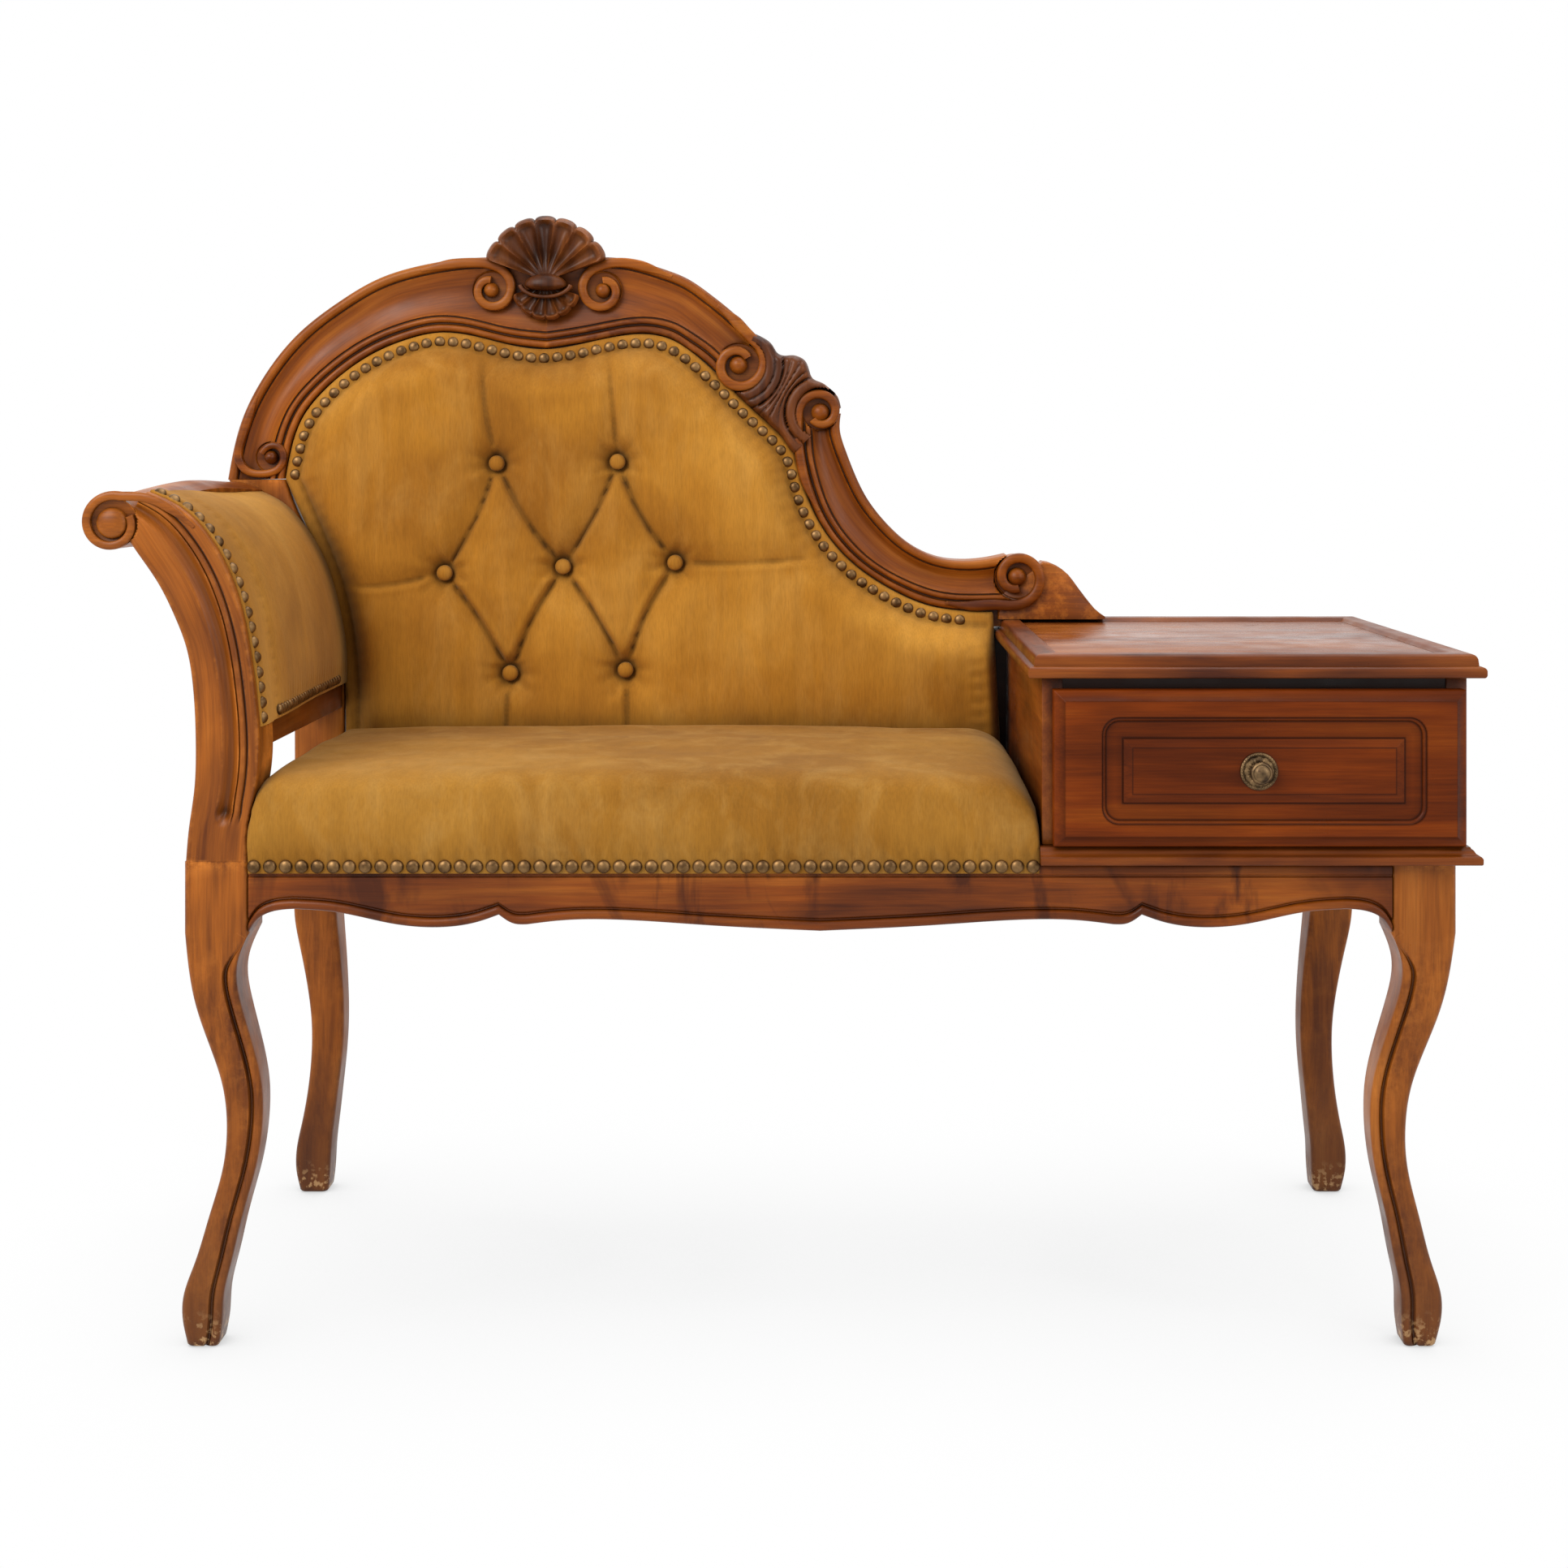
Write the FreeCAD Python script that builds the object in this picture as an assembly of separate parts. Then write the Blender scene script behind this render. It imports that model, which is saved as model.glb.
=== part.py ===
"""A telephone bench: an upholstered seat with one scrolled arm and a carved sweeping back,
joined to a small table with one drawer, on four cabriole legs.

Millimetres. X runs to the sitter's left as seen from the front (towards the table), Y runs from the
front to the wall and Z runs up. The origin is on the floor, under the middle of the whole bench.
"""
import FreeCAD, Part
import math
import os

V = FreeCAD.Vector

# Leg frame: the outer faces of the legs and the level of the seat rails
LEG_LEFT = -460.0
BENCH_LENGTH = 981.0
LEG_FRONT = -175.0
BENCH_DEPTH = 383.0
RAIL_TOP = 375.0
RAIL_THICK = 22.0
RAIL_HEIGHT = 50.0
BLOCK_WIDTH = 50.0
BLOCK_DEPTH = 45.0
LEG_CORNER = 4.0
LEG_BEAD = 8.0
QUIRK = 2.2
TENON_LONG = 22.0
TENON_THICK = 9.0
TENON_HIGH = 26.0
TENON_RAISED = 6.0
TENON_CLEAR = 0.2
SEAT_GAP = 0.3
LEG_RIGHT = LEG_LEFT + BENCH_LENGTH
LEG_REAR = LEG_FRONT + BENCH_DEPTH

# Curves are cut into straight pieces that stay this close to them
CHORD = 0.35

# Table with its drawer
CASE_WIDTH = 327.6
CASE_OVER_LEG = 7.8
CASE_THICK = 16.0
CASE_HIGH = 130.0
CASE_SETBACK = 1.0
CASE_BACK_GAP = 18.0
CASE_BACK_THICK = 8.0
BASE_THICK = 13.0
BASE_SIDE_OVER = 8.2
BASE_LEFT_OVER = 1.9
TOP_THICK = 18.0
TOP_LEFT_OVER = 11.8
TOP_RIGHT_OVER = 11.2
TOP_FRONT_OVER = 15.0
LIP_WIDTH = 26.0
LIP_HIGH = 3.0
LIP_SLOPE = 3.0
CASE_RIGHT = LEG_RIGHT + CASE_OVER_LEG
CASE_LEFT = CASE_RIGHT - CASE_WIDTH
CASE_FLOOR = RAIL_TOP + BASE_THICK
CASE_TOP = CASE_FLOOR + CASE_HIGH
TABLE_TOP = CASE_TOP + TOP_THICK
CASE_FRONT = LEG_FRONT + CASE_SETBACK
CASE_REAR = LEG_REAR - CASE_BACK_GAP

# Drawer
RUNNER_WIDE = 14.0
RUNNER_HIGH = 6.7
DRAWER_SIDE_CLEAR = 1.0
DRAWER_SIDE_THICK = 10.0
DRAWER_SIDE_HIGH = 93.0
DRAWER_LONG = 324.0
DRAWER_BOTTOM_THICK = 4.0
DRAWER_GROOVE_DEEP = 4.2
DRAWER_BOTTOM_UP = 8.0
BOTTOM_CLEAR = 0.1
DRAWER_BACK_DROP = 4.0
FRONT_THICK = 18.0
FRONT_SIDE_REVEAL = 7.8
FRONT_BOTTOM_UP = 1.0
FRONT_HIGH = 120.0
FRONT_BEVEL = 8.7
FRONT_BEVEL_DEEP = 5.0
FIELD_LEFT = 36.7
FIELD_RIGHT = 31.7
FIELD_UP = 17.6
FIELD_DOWN = 20.6
FIELD_SLOPE = 2.5
FIELD_DEEP = 4.0
FIELD_CORNER = 10.0
PANEL_INSET = 16.2
PANEL_BEVEL = 7.0
TOP_RAIL_HIGH = 15.0
TOP_RAIL_DEEP = 25.0
TOP_RAIL_SETBACK = 2.0
KICKER_CLEAR = 0.5
KNOB_RADIUS = 14.5
KNOB_REACH = 16.0
KNOB_PLATE = 2.0
SCREW_RADIUS = 2.0

# Upholstery
SEAT_CROWN = 66.0
SEAT_RISE = 3.0
SEAT_BULGE = 3.5
COVER = 2.4
COVER_DROP = 8.5
SEAT_BOARD = 12.0
NAIL_RADIUS = 4.7
NAIL_HIGH = 2.6
NAIL_STEP = 12.2
NAIL_STANDS = 0.55
ARM_NAIL_RADIUS = 4.0
ARM_NAIL_STEP = 8.8

# Back and arm: the planes of the carved frame, and the levels of the upholstery inside it
BACK_FACE = 335.0
BACK_THICK = 40.0
PAD_LIFT = 31.0
BACK_BOARD = 6.0
POST_DEPTH = 42.0
BACK_HEIGHT = 535.0
ARM_HEIGHT = 286.0
BEAD = 9.0
HOLLOW = 7.0
REBATE_WIDE = 10.0
REBATE_DEEP = 10.0
BACK_FRONT = LEG_FRONT + BACK_FACE
BACK_REAR = BACK_FRONT + BACK_THICK
PAD_EDGE_Y = BACK_FRONT + 1.0
BOARD_Y = BACK_FRONT + REBATE_DEEP

# The outlines below are drawn from the left legs' outer face and from the top of the seat rails, for
# these heights of the back, the arm and the table, and for a table whose side stands a little inside
# the middle of the scroll that the back ends in.
END_SCROLL = ((671.0, 199.5), 27.0)
END_SCROLL_OVER = 9.8
DRAWN_SPAN = END_SCROLL[0][0] - END_SCROLL_OVER
DRAWN_BACK = 535.0
DRAWN_ARM = 286.0
DRAWN_TABLE = 161.0
SPAN_STRETCH = (CASE_LEFT - LEG_LEFT) / DRAWN_SPAN
ARM_LEVELS = [(0.0, 0.0), (DRAWN_ARM, ARM_HEIGHT), (DRAWN_BACK, BACK_HEIGHT)]
TABLE_LEVELS = [(0.0, 0.0), (DRAWN_TABLE, TABLE_TOP - RAIL_TOP), (DRAWN_BACK, BACK_HEIGHT)]


def box(x0, x1, y0, y1, z0, z1):
    return Part.makeBox(x1 - x0, y1 - y0, z1 - z0, V(x0, y0, z0))


def level(drawn, levels):
    """The height above the rails of a drawn height, by the pairs of drawn and real heights around it."""
    low, high = levels[:2] if drawn < levels[1][0] else levels[1:]
    return low[1] + (high[1] - low[1]) * (drawn - low[0]) / (high[0] - low[0])


def post_point(point):
    """A point of the arm's outlines: (from the left leg's outer face, above the seat rails)."""
    return (LEG_LEFT + point[0], RAIL_TOP + level(point[1], ARM_LEVELS))


def back_point(point):
    """A point of the back's outlines. Its height follows the arm at the left and the table at the right."""
    share = min(1.0, max(0.0, point[0] / DRAWN_SPAN))
    height = level(point[1], ARM_LEVELS) * (1 - share) + level(point[1], TABLE_LEVELS) * share
    return (LEG_LEFT + point[0] * SPAN_STRETCH, RAIL_TOP + height)


def smooth(points):
    """The curve through some points, as a spline."""
    curve = Part.BSplineCurve()
    curve.interpolate(points)
    return curve


def trace(curves, count=None):
    """The (x, z) points of a chain of curves. A curve of two points is straight; one of more points is
    smooth, and is cut into straight pieces that stay within CHORD of it, or into count pieces."""
    path = []
    for curve in curves:
        points = curve
        if len(curve) > 2:
            spline = smooth([V(x, 0, z) for x, z in curve]).toShape()
            fine = spline.discretize(Number=count) if count else spline.discretize(Deflection=CHORD)
            points = [(p.x, p.z) for p in fine]
        path += points[1:] if path else points
    return path


def closed(points):
    return Part.makePolygon(points + [points[0]])


def slab(curves, y0, y1):
    """An upright board cut to a closed outline of (x, z) curves."""
    path = trace(curves)[:-1]
    return Part.Face(closed([V(x, y0, z) for x, z in path])).extrude(V(0, y1 - y0, 0))


# How far from one plane the four corners of a flat face may lie
FLAT = 1e-7


def flat_faces(a, b, c, d):
    """The face between four corners, in two halves where they don't lie in one plane."""
    normal = (b - a).cross(d - a)
    if abs(normal.dot(c - a)) <= FLAT * normal.Length:
        return [Part.Face(closed([a, b, c, d]))]
    return [Part.Face(closed([a, b, c])), Part.Face(closed([a, c, d]))]


def solid_of(faces):
    shell = Part.makeShell(faces)
    shell.sewShape()
    solid = Part.makeSolid(shell)
    if solid.Volume < 0:
        solid.reverse()
    return solid


def faceted(rings):
    """A solid with straight faces from ring to ring, and flat ends. Each ring is a list of points."""
    faces = [Part.Face(closed(rings[0])), Part.Face(closed(rings[-1]))]
    for low, high in zip(rings, rings[1:]):
        for k in range(len(low)):
            n = (k + 1) % len(low)
            faces += flat_faces(low[k], low[n], high[n], high[k])
    return solid_of(faces)


def refined(rings, places, count):
    """More rings along smooth curves through the given ones. places says where each given ring lies."""
    curves = []
    for column in zip(*rings):
        curve = Part.BSplineCurve()
        curve.interpolate(Points=list(column), Parameters=places)
        curves.append(curve)
    span = places[-1] - places[0]
    stops = [places[0] + span * k / (count - 1) for k in range(count)]
    return [[curve.value(stop) for curve in curves] for stop in stops]


def disc(centre, radius, y0, y1, sides=24):
    """A round piece whose axis runs from front to back, cut from flat faces."""
    return stack(centre, [(radius, y0), (radius, y1)], sides)


def rectangle(x0, x1, y0, y1, z):
    return [V(x0, y0, z), V(x1, y0, z), V(x1, y1, z), V(x0, y1, z)]


def upright_rectangle(x0, x1, z0, z1, y):
    return [V(x0, y, z0), V(x1, y, z0), V(x1, y, z1), V(x0, y, z1)]


def ring(centre, radius, y, sides):
    """An even polygon in an upright plane, for small round pieces."""
    angles = [2 * math.pi * (k + 0.5) / sides for k in range(sides)]
    return [V(centre[0] + radius * math.cos(a), y, centre[1] + radius * math.sin(a)) for a in angles]


def stack(centre, steps, sides):
    """A round piece with its axis from front to back, from (radius, y) steps."""
    return faceted([ring(centre, radius, y, sides) for radius, y in steps])


def groove(start, end, wide, deep, y):
    """A vee to be cut in an upright front face at y, from one (x, z) point to another."""
    way = V(end[0] - start[0], 0, end[1] - start[1])
    across = V(-way.z, 0, way.x).normalize() * (wide / 2)
    top = V(start[0], y - 0.5, start[1])
    return Part.Face(closed([top + across, top - across, V(start[0], y + deep, start[1])])).extrude(way)


def inset(points, distance, corners=()):
    """Points of a closed outline, run clockwise as seen from the front, moved inwards by a distance."""
    moved = []
    count = len(points)
    for i, (x, z) in enumerate(points):
        ax, az = points[i - 1]
        bx, bz = points[(i + 1) % count]
        first = math.hypot(x - ax, z - az)
        second = math.hypot(bx - x, bz - z)
        n1 = ((z - az) / first, -(x - ax) / first)
        n2 = ((bz - z) / second, -(bx - x) / second)
        nx, nz = n1[0] + n2[0], n1[1] + n2[1]
        length = math.hypot(nx, nz)
        nx, nz = nx / length, nz / length
        mitre = distance / (nx * n1[0] + nz * n1[1]) if i in corners else distance
        moved.append((x + nx * mitre, z + nz * mitre))
    return moved


def runs(points, corners):
    """A closed list of points cut at its corners into the curves between them."""
    curves = []
    for i, start in enumerate(corners):
        end = corners[(i + 1) % len(corners)]
        if end <= start:
            end += len(points)
        curves.append([points[k % len(points)] for k in range(start, end + 1)])
    return curves


# Cabriole legs

# Height as a share of the rail level, then in mm: the outer edge and the inner edge, both inwards from
# the block's outer face, the front setback and the depth. The knee swells near the top, the ankle
# draws in and the foot turns out.
FRONT_LEG_STATIONS = [
    (0.013, 7.5, 33.5, 2.5, 27.0),
    (0.05, 5.0, 35.5, 0.5, 29.5),
    (0.11, 5.2, 36.5, 0.0, 30.5),
    (0.17, 12.0, 40.5, 3.5, 31.0),
    (0.253, 19.8, 46.0, 10.0, 30.0),
    (0.36, 29.0, 55.0, 16.0, 28.5),
    (0.44, 30.5, 58.5, 18.0, 28.5),
    (0.528, 26.8, 58.0, 16.0, 30.0),
    (0.613, 17.8, 52.0, 10.5, 33.5),
    (0.70, 8.3, 44.0, 4.5, 37.0),
    (0.785, 2.8, 41.0, 1.0, 40.5),
    (0.853, 0.0, BLOCK_WIDTH, 0.0, BLOCK_DEPTH),
]
REAR_LEG_STATIONS = [
    (0.013, 3.5, 31.0, 2.5, 29.0),
    (0.05, 0.5, 32.0, 0.5, 31.5),
    (0.11, 0.5, 33.0, 0.0, 32.0),
    (0.17, 5.5, 36.0, 3.5, 32.0),
    (0.253, 12.0, 40.5, 10.0, 30.5),
    (0.36, 16.5, 45.5, 16.0, 28.5),
    (0.44, 16.5, 47.0, 18.0, 28.5),
    (0.528, 12.0, 45.5, 16.0, 30.0),
    (0.613, 5.0, 42.0, 10.5, 33.5),
    (0.70, -1.5, 38.0, 4.5, 37.0),
    (0.785, -1.0, 39.0, 1.0, 40.5),
    (0.853, 0.0, BLOCK_WIDTH, 0.0, BLOCK_DEPTH),
]
FOOT_ROUND = 3.0
LEG_RINGS = 24
STILE_RINGS = 14
# Both pairs of feet stand a little to the left of their blocks
FRONT_DRIFT = 7.0
REAR_DRIFT = 3.0


def leg_section(face_x, side, face_y, into, z, outer, inner, setback, depth, beaded):
    """One level section of a leg. side and into are +1 or -1: the ways inwards along X and Y."""
    r = LEG_CORNER
    corners = [(outer + r, 0), (inner - r, 0), (inner, r)]
    if beaded:
        bead = inner - LEG_BEAD
        corners = [(outer + r, 0), (bead, 0), (bead, QUIRK), (bead + LEG_BEAD / 2, QUIRK / 4)]
        corners.append((inner, LEG_BEAD / 2))
    corners += [(inner, depth - r), (inner - r, depth), (outer + r, depth), (outer, depth - r), (outer, r)]
    return [V(face_x + side * u, face_y + into * (setback + d), z) for u, d in corners]


def leg(face_x, side, face_y, into, beaded):
    """A cabriole leg up to the top of the seat rails, with the two mortises of its rails."""
    stations = FRONT_LEG_STATIONS if beaded else REAR_LEG_STATIONS
    drift = FRONT_DRIFT if beaded else REAR_DRIFT

    def section(station, height, shrink=0.0, bead=beaded):
        share, outer, inner, setback, depth = station
        sideways = side * drift * max(0.0, 1 - height / (RAIL_TOP * stations[-1][0]))
        return leg_section(face_x, side, face_y, into, height, outer + shrink - sideways,
                           inner - shrink - sideways, setback + shrink, depth - 2 * shrink, bead)

    sole = section(stations[0], 0.0, FOOT_ROUND)
    heights = [RAIL_TOP * station[0] for station in stations]
    drawn = [section(station, height) for station, height in zip(stations, heights)]
    rings = refined(drawn, heights, LEG_RINGS)
    block_foot = Part.Face(closed(section(stations[-1], heights[-1], bead=False)))
    block = block_foot.extrude(V(0, 0, RAIL_TOP - heights[-1]))
    shape = faceted([sole] + rings).fuse(block).removeSplitter()
    return shape.cut([
        tenon_space(face_x, side, face_y, into, "x", TENON_CLEAR),
        tenon_space(face_x, side, face_y, into, "y", TENON_CLEAR),
    ])


def tenon_space(face_x, side, face_y, into, way, clear):
    """The tenon of the rail that runs along X or Y from this leg, or its mortise if clear is more than 0."""
    low = RAIL_TOP - (RAIL_HEIGHT + TENON_HIGH) / 2 + TENON_RAISED - clear
    high = low + TENON_HIGH + 2 * clear
    mid = RAIL_THICK / 2
    half = TENON_THICK / 2 + clear
    if way == "x":
        u = (BLOCK_WIDTH - TENON_LONG - clear, BLOCK_WIDTH)
        d = (mid - half, mid + half)
    else:
        u = (mid - half, mid + half)
        d = (BLOCK_DEPTH - TENON_LONG - clear, BLOCK_DEPTH)
    xs = sorted(face_x + side * value for value in u)
    ys = sorted(face_y + into * value for value in d)
    return box(xs[0], xs[1], ys[0], ys[1], low, high)


LEGS = {
    "front_left_leg": (LEG_LEFT, 1, LEG_FRONT, 1, True),
    "front_right_leg": (LEG_RIGHT, -1, LEG_FRONT, 1, True),
    "rear_left_leg": (LEG_LEFT, 1, LEG_REAR, -1, False),
    "rear_right_leg": (LEG_RIGHT, -1, LEG_REAR, -1, False),
}

# The left stile grows out of the rear left leg and leans outwards with the arm:
# height above the rails, outer face, inner face, both from the leg's outer face.
STILE_STATIONS = [
    (0.0, 0.0, 46.5),
    (35.0, 0.0, 46.5),
    (70.0, 0.0, 46.5),
    (105.0, 0.0, 46.4),
    (150.0, -4.5, 42.0),
    (195.0, -16.0, 31.5),
    (235.0, -33.0, 16.0),
    (265.0, -49.0, 1.5),
    (290.7, -61.0, -8.0),
]


def stile():
    """The left back post, from the rail level up to the foot of the crest."""
    rings = []
    for height, outer, inner in STILE_STATIONS:
        x0, z = back_point((outer, height))
        x1 = back_point((inner, height))[0]
        setback = LEG_REAR - BACK_REAR
        rings.append(leg_section(x0, 1, LEG_REAR, -1, z, 0, x1 - x0, setback, BACK_THICK, False))
    return faceted(refined(rings, [drawn[0].z for drawn in rings], STILE_RINGS))


# Seat rails

# The left half of the front rail's lower edge, as (from the middle of the bench, below the rail's
# top): an arch from the leg, a swell, a cusp and half of a long sagging middle.
APRON_ARCH = [(-440.5, -54.0), (-434.0, -44.5), (-424.0, -39.0), (-406.0, -36.6)]
APRON_SWELL = [
    (-406.0, -36.6), (-374.0, -39.0), (-330.0, -48.0), (-296.0, -50.8), (-264.0, -46.5), (-248.0, -41.0),
]
APRON_CUSP = [(-248.0, -41.0), (-236.0, -48.0), (-226.0, -48.5)]
APRON_MIDDLE = [(-226.0, -48.5), (-200.0, -45.5), (-160.0, -44.8), (-90.0, -49.0), (0.0, -53.5)]
APRON_HALF = -APRON_ARCH[0][0]
APRON_BEAD = 7.5
APRON_GROOVE = 2.0
LINE_BELOW_COVER = 2.4
LINE_WIDE = 1.4
LINE_DEEP = 1.2


def apron_edge(lift):
    """The lower edge of the front rail, from left to right, raised by a distance."""
    middle_x = (LEG_LEFT + LEG_RIGHT) / 2
    stretch = (BENCH_LENGTH / 2 - BLOCK_WIDTH) / APRON_HALF

    def half(points, way):
        placed = [(middle_x + way * x * stretch, RAIL_TOP + z + lift) for x, z in points]
        return placed if way > 0 else placed[::-1]

    left = [half(c, 1) for c in (APRON_ARCH, APRON_SWELL, APRON_CUSP)]
    right = [half(c, -1) for c in (APRON_CUSP, APRON_SWELL, APRON_ARCH)]
    middle = half(APRON_MIDDLE, 1) + half(APRON_MIDDLE, -1)[1:]
    return left + [middle] + right


def groove_along(curves, wide, y0, y1):
    """A narrow channel that follows a chain of curves, to be cut from a front face."""
    lower = trace(curves)
    upper = [(x, z + wide) for x, z in reversed(lower)]
    return Part.Face(closed([V(x, y0, z) for x, z in lower + upper])).extrude(V(0, y1 - y0, 0))


def front_seat_rail():
    """The shaped apron, with a bead along its lower edge and a scratched line under the seat."""
    x0 = LEG_LEFT + BLOCK_WIDTH
    x1 = LEG_RIGHT - BLOCK_WIDTH
    lower = apron_edge(0)
    last, first = lower[-1][-1], lower[0][0]
    sides = [[last, (x1, RAIL_TOP)], [(x1, RAIL_TOP), (x0, RAIL_TOP)], [(x0, RAIL_TOP), first]]
    rail = slab(lower + sides, LEG_FRONT, LEG_FRONT + RAIL_THICK)
    rail = rail.cut(groove_along(apron_edge(APRON_BEAD), APRON_GROOVE, LEG_FRONT - 1, LEG_FRONT + QUIRK))
    line_z = RAIL_TOP - COVER_DROP - LINE_BELOW_COVER
    rail = rail.cut(box(x0 - 1, x1 + 1, LEG_FRONT - 1, LEG_FRONT + LINE_DEEP, line_z, line_z + LINE_WIDE))
    return rail.fuse([
        tenon_space(*LEGS["front_left_leg"][:4], "x", 0),
        tenon_space(*LEGS["front_right_leg"][:4], "x", 0),
    ]).removeSplitter()


def rear_seat_rail():
    rail = box(LEG_LEFT + BLOCK_WIDTH, LEG_RIGHT - BLOCK_WIDTH, LEG_REAR - RAIL_THICK, LEG_REAR,
               RAIL_TOP - RAIL_HEIGHT, RAIL_TOP)
    return rail.fuse([
        tenon_space(*LEGS["rear_left_leg"][:4], "x", 0),
        tenon_space(*LEGS["rear_right_leg"][:4], "x", 0),
    ]).removeSplitter()


SIDE_ARCH = 12.0
MIDDLE_RAIL_UP = 6.0


def side_seat_rail(face_x, side, names):
    """A side rail, cut away underneath in one long arch."""
    y0 = LEG_FRONT + BLOCK_DEPTH
    y1 = LEG_REAR - BLOCK_DEPTH
    low = RAIL_TOP - RAIL_HEIGHT
    low_start = V(face_x, y0, low)
    low_end = V(face_x, y1, low)
    arch = Part.Arc(low_start, V(face_x, (y0 + y1) / 2, low + SIDE_ARCH), low_end).toShape()
    rest = Part.makePolygon([low_end, V(face_x, y1, RAIL_TOP), V(face_x, y0, RAIL_TOP), low_start])
    rail = Part.Face(Part.Wire([arch] + rest.Edges)).extrude(V(side * RAIL_THICK, 0, 0))
    return rail.fuse([tenon_space(*LEGS[name][:4], "y", 0) for name in names]).removeSplitter()


def middle_seat_rail():
    """The cross rail under the left side of the table."""
    return box(CASE_LEFT - RAIL_THICK / 2, CASE_LEFT + RAIL_THICK / 2, LEG_FRONT + RAIL_THICK,
               LEG_REAR - RAIL_THICK, RAIL_TOP - RAIL_HEIGHT + MIDDLE_RAIL_UP, RAIL_TOP)


BLOCK_REACH = 50.0
BLOCK_UP = 10.0
BLOCK_HIGH = RAIL_HEIGHT - BLOCK_UP - SEAT_BOARD - SEAT_GAP
SCREW_SHANK = 1.9
SCREW_HEAD = 4.0
SCREW_HEAD_HIGH = 2.6
SCREW_REACH = 14.0
SCREW_CLEAR = 0.1
BLOCK_SCREW = 24.0


def corner_block(face_x, side, face_y, into):
    """A glue block notched round the leg, and its screws, one into each rail."""
    def at(u, d):
        return V(face_x + side * u, face_y + into * d, RAIL_TOP - RAIL_HEIGHT + BLOCK_UP)

    u_leg = BLOCK_WIDTH + SEAT_GAP
    d_leg = BLOCK_DEPTH + SEAT_GAP
    corners = [
        at(u_leg, RAIL_THICK), at(u_leg + BLOCK_REACH, RAIL_THICK), at(RAIL_THICK, d_leg + BLOCK_REACH),
        at(RAIL_THICK, d_leg), at(u_leg, d_leg),
    ]
    block = Part.Face(closed(corners)).extrude(V(0, 0, BLOCK_HIGH))
    starts = [
        (at(u_leg + BLOCK_SCREW, RAIL_THICK), V(0, into, 0)),
        (at(RAIL_THICK, d_leg + BLOCK_SCREW), V(side, 0, 0)),
    ]
    screws = []
    for point, way in starts:
        start = point + V(0, 0, BLOCK_HIGH / 2) - way * SCREW_REACH
        block = block.cut([
            hexagon_bar(start, way, 2 * SCREW_REACH, SCREW_SHANK + SCREW_CLEAR),
            hexagon_bar(start + way * (2 * SCREW_REACH), way, BLOCK_REACH, SCREW_HEAD + SEAT_GAP),
        ])
        shank = hexagon_bar(start, way, 2 * SCREW_REACH, SCREW_SHANK)
        head = hexagon_bar(start + way * (2 * SCREW_REACH), way, SCREW_HEAD_HIGH, SCREW_HEAD)
        screws.append((start, way, shank.fuse(head).removeSplitter()))
    return block, screws


def hexagon_bar(start, way, length, radius):
    """A six-sided bar along way, for the small screws and their holes."""
    across = V(0, 0, 1)
    other = way.cross(across)
    angles = [math.pi * k / 3 for k in range(6)]
    return Part.Face(closed([
        start + across * (radius * math.cos(a)) + other * (radius * math.sin(a)) for a in angles
    ])).extrude(way * length)


def drill_for(screws, rail):
    """A rail with the pilot holes of the block screws that reach into it."""
    holes = []
    for start, way, screw in screws:
        radius = SCREW_SHANK + SCREW_CLEAR
        hole = hexagon_bar(start - way * SCREW_CLEAR, way, SCREW_REACH + 2 * SCREW_CLEAR, radius)
        if rail.BoundBox.intersect(hole.BoundBox):
            holes.append(hole)
    return rail.cut(holes)


# Carved rails: a bead, a hollow and a second bead, drawn through pairs of outer and inner points


def rail_section(outer, inner, y_front, thick, rebate):
    """The moulded section of a carved rail between its outer and inner edge. A rail of the back has a
    rebate behind its inner edge, which carries the edge of the pad; rebate is the share of its width."""
    width = math.hypot(inner[0] - outer[0], inner[1] - outer[1])
    ux, uz = (inner[0] - outer[0]) / width, (inner[1] - outer[1]) / width

    def at(v, d):
        return V(outer[0] + ux * v, y_front + d, outer[1] + uz * v)

    quirk = BEAD / 3
    edge_steps = [(width, thick)]
    if rebate:
        reach = width + REBATE_WIDE * rebate
        edge_steps = [(width, REBATE_DEEP), (reach, REBATE_DEEP), (reach, thick)]
    steps = [(0, thick), (0, BEAD / 2), (BEAD * 0.4, 0), (BEAD, quirk)]
    steps += [(width * 0.36, HOLLOW * 0.9), (width * 0.64, HOLLOW * 0.9)]
    steps += [(width - BEAD, quirk), (width - BEAD * 0.4, 0), (width, BEAD / 2)]
    return [at(v, d) for v, d in steps + edge_steps]


def carved_rail(stations, place, y_front, thick, rebates, count):
    """A rail carved along a curve, through pairs of outer and inner points."""
    rings = []
    for (outer, inner), rebate in zip(stations, rebates):
        rings.append(rail_section(place(outer), place(inner), y_front, thick, rebate))
    places = [0.0]
    for before, after in zip(rings, rings[1:]):
        places.append(places[-1] + ((after[0] - before[0]).Length + (after[-2] - before[-2]).Length) / 2)
    return faceted(refined(rings, places, count))


def volute(rail, centre, radius, band, knob, lean, y_front, y_back):
    """Adds a scroll to a rail: a disc with a sunk crescent round a knob that leans over at an angle."""
    x, z = centre
    way = (math.cos(math.radians(lean)), math.sin(math.radians(lean)))
    hollow = radius - band
    sunk = (x + way[0] * band * 0.35, z + way[1] * band * 0.35)
    off = hollow - knob + 1.4
    eye = (sunk[0] + way[0] * off, sunk[1] + way[1] * off)
    crescent = disc(sunk, hollow, y_front - 1, y_front + 4, 20)
    crescent = crescent.cut(disc(eye, knob, y_front - 2, y_front + 5, 12))
    dome = stack(eye, [(knob - 0.6, y_front), (knob * 0.5, y_front - 2.0)], 12)
    return rail.fuse(disc(centre, radius, y_front, y_back)).cut(crescent).fuse(dome).removeSplitter()


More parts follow.
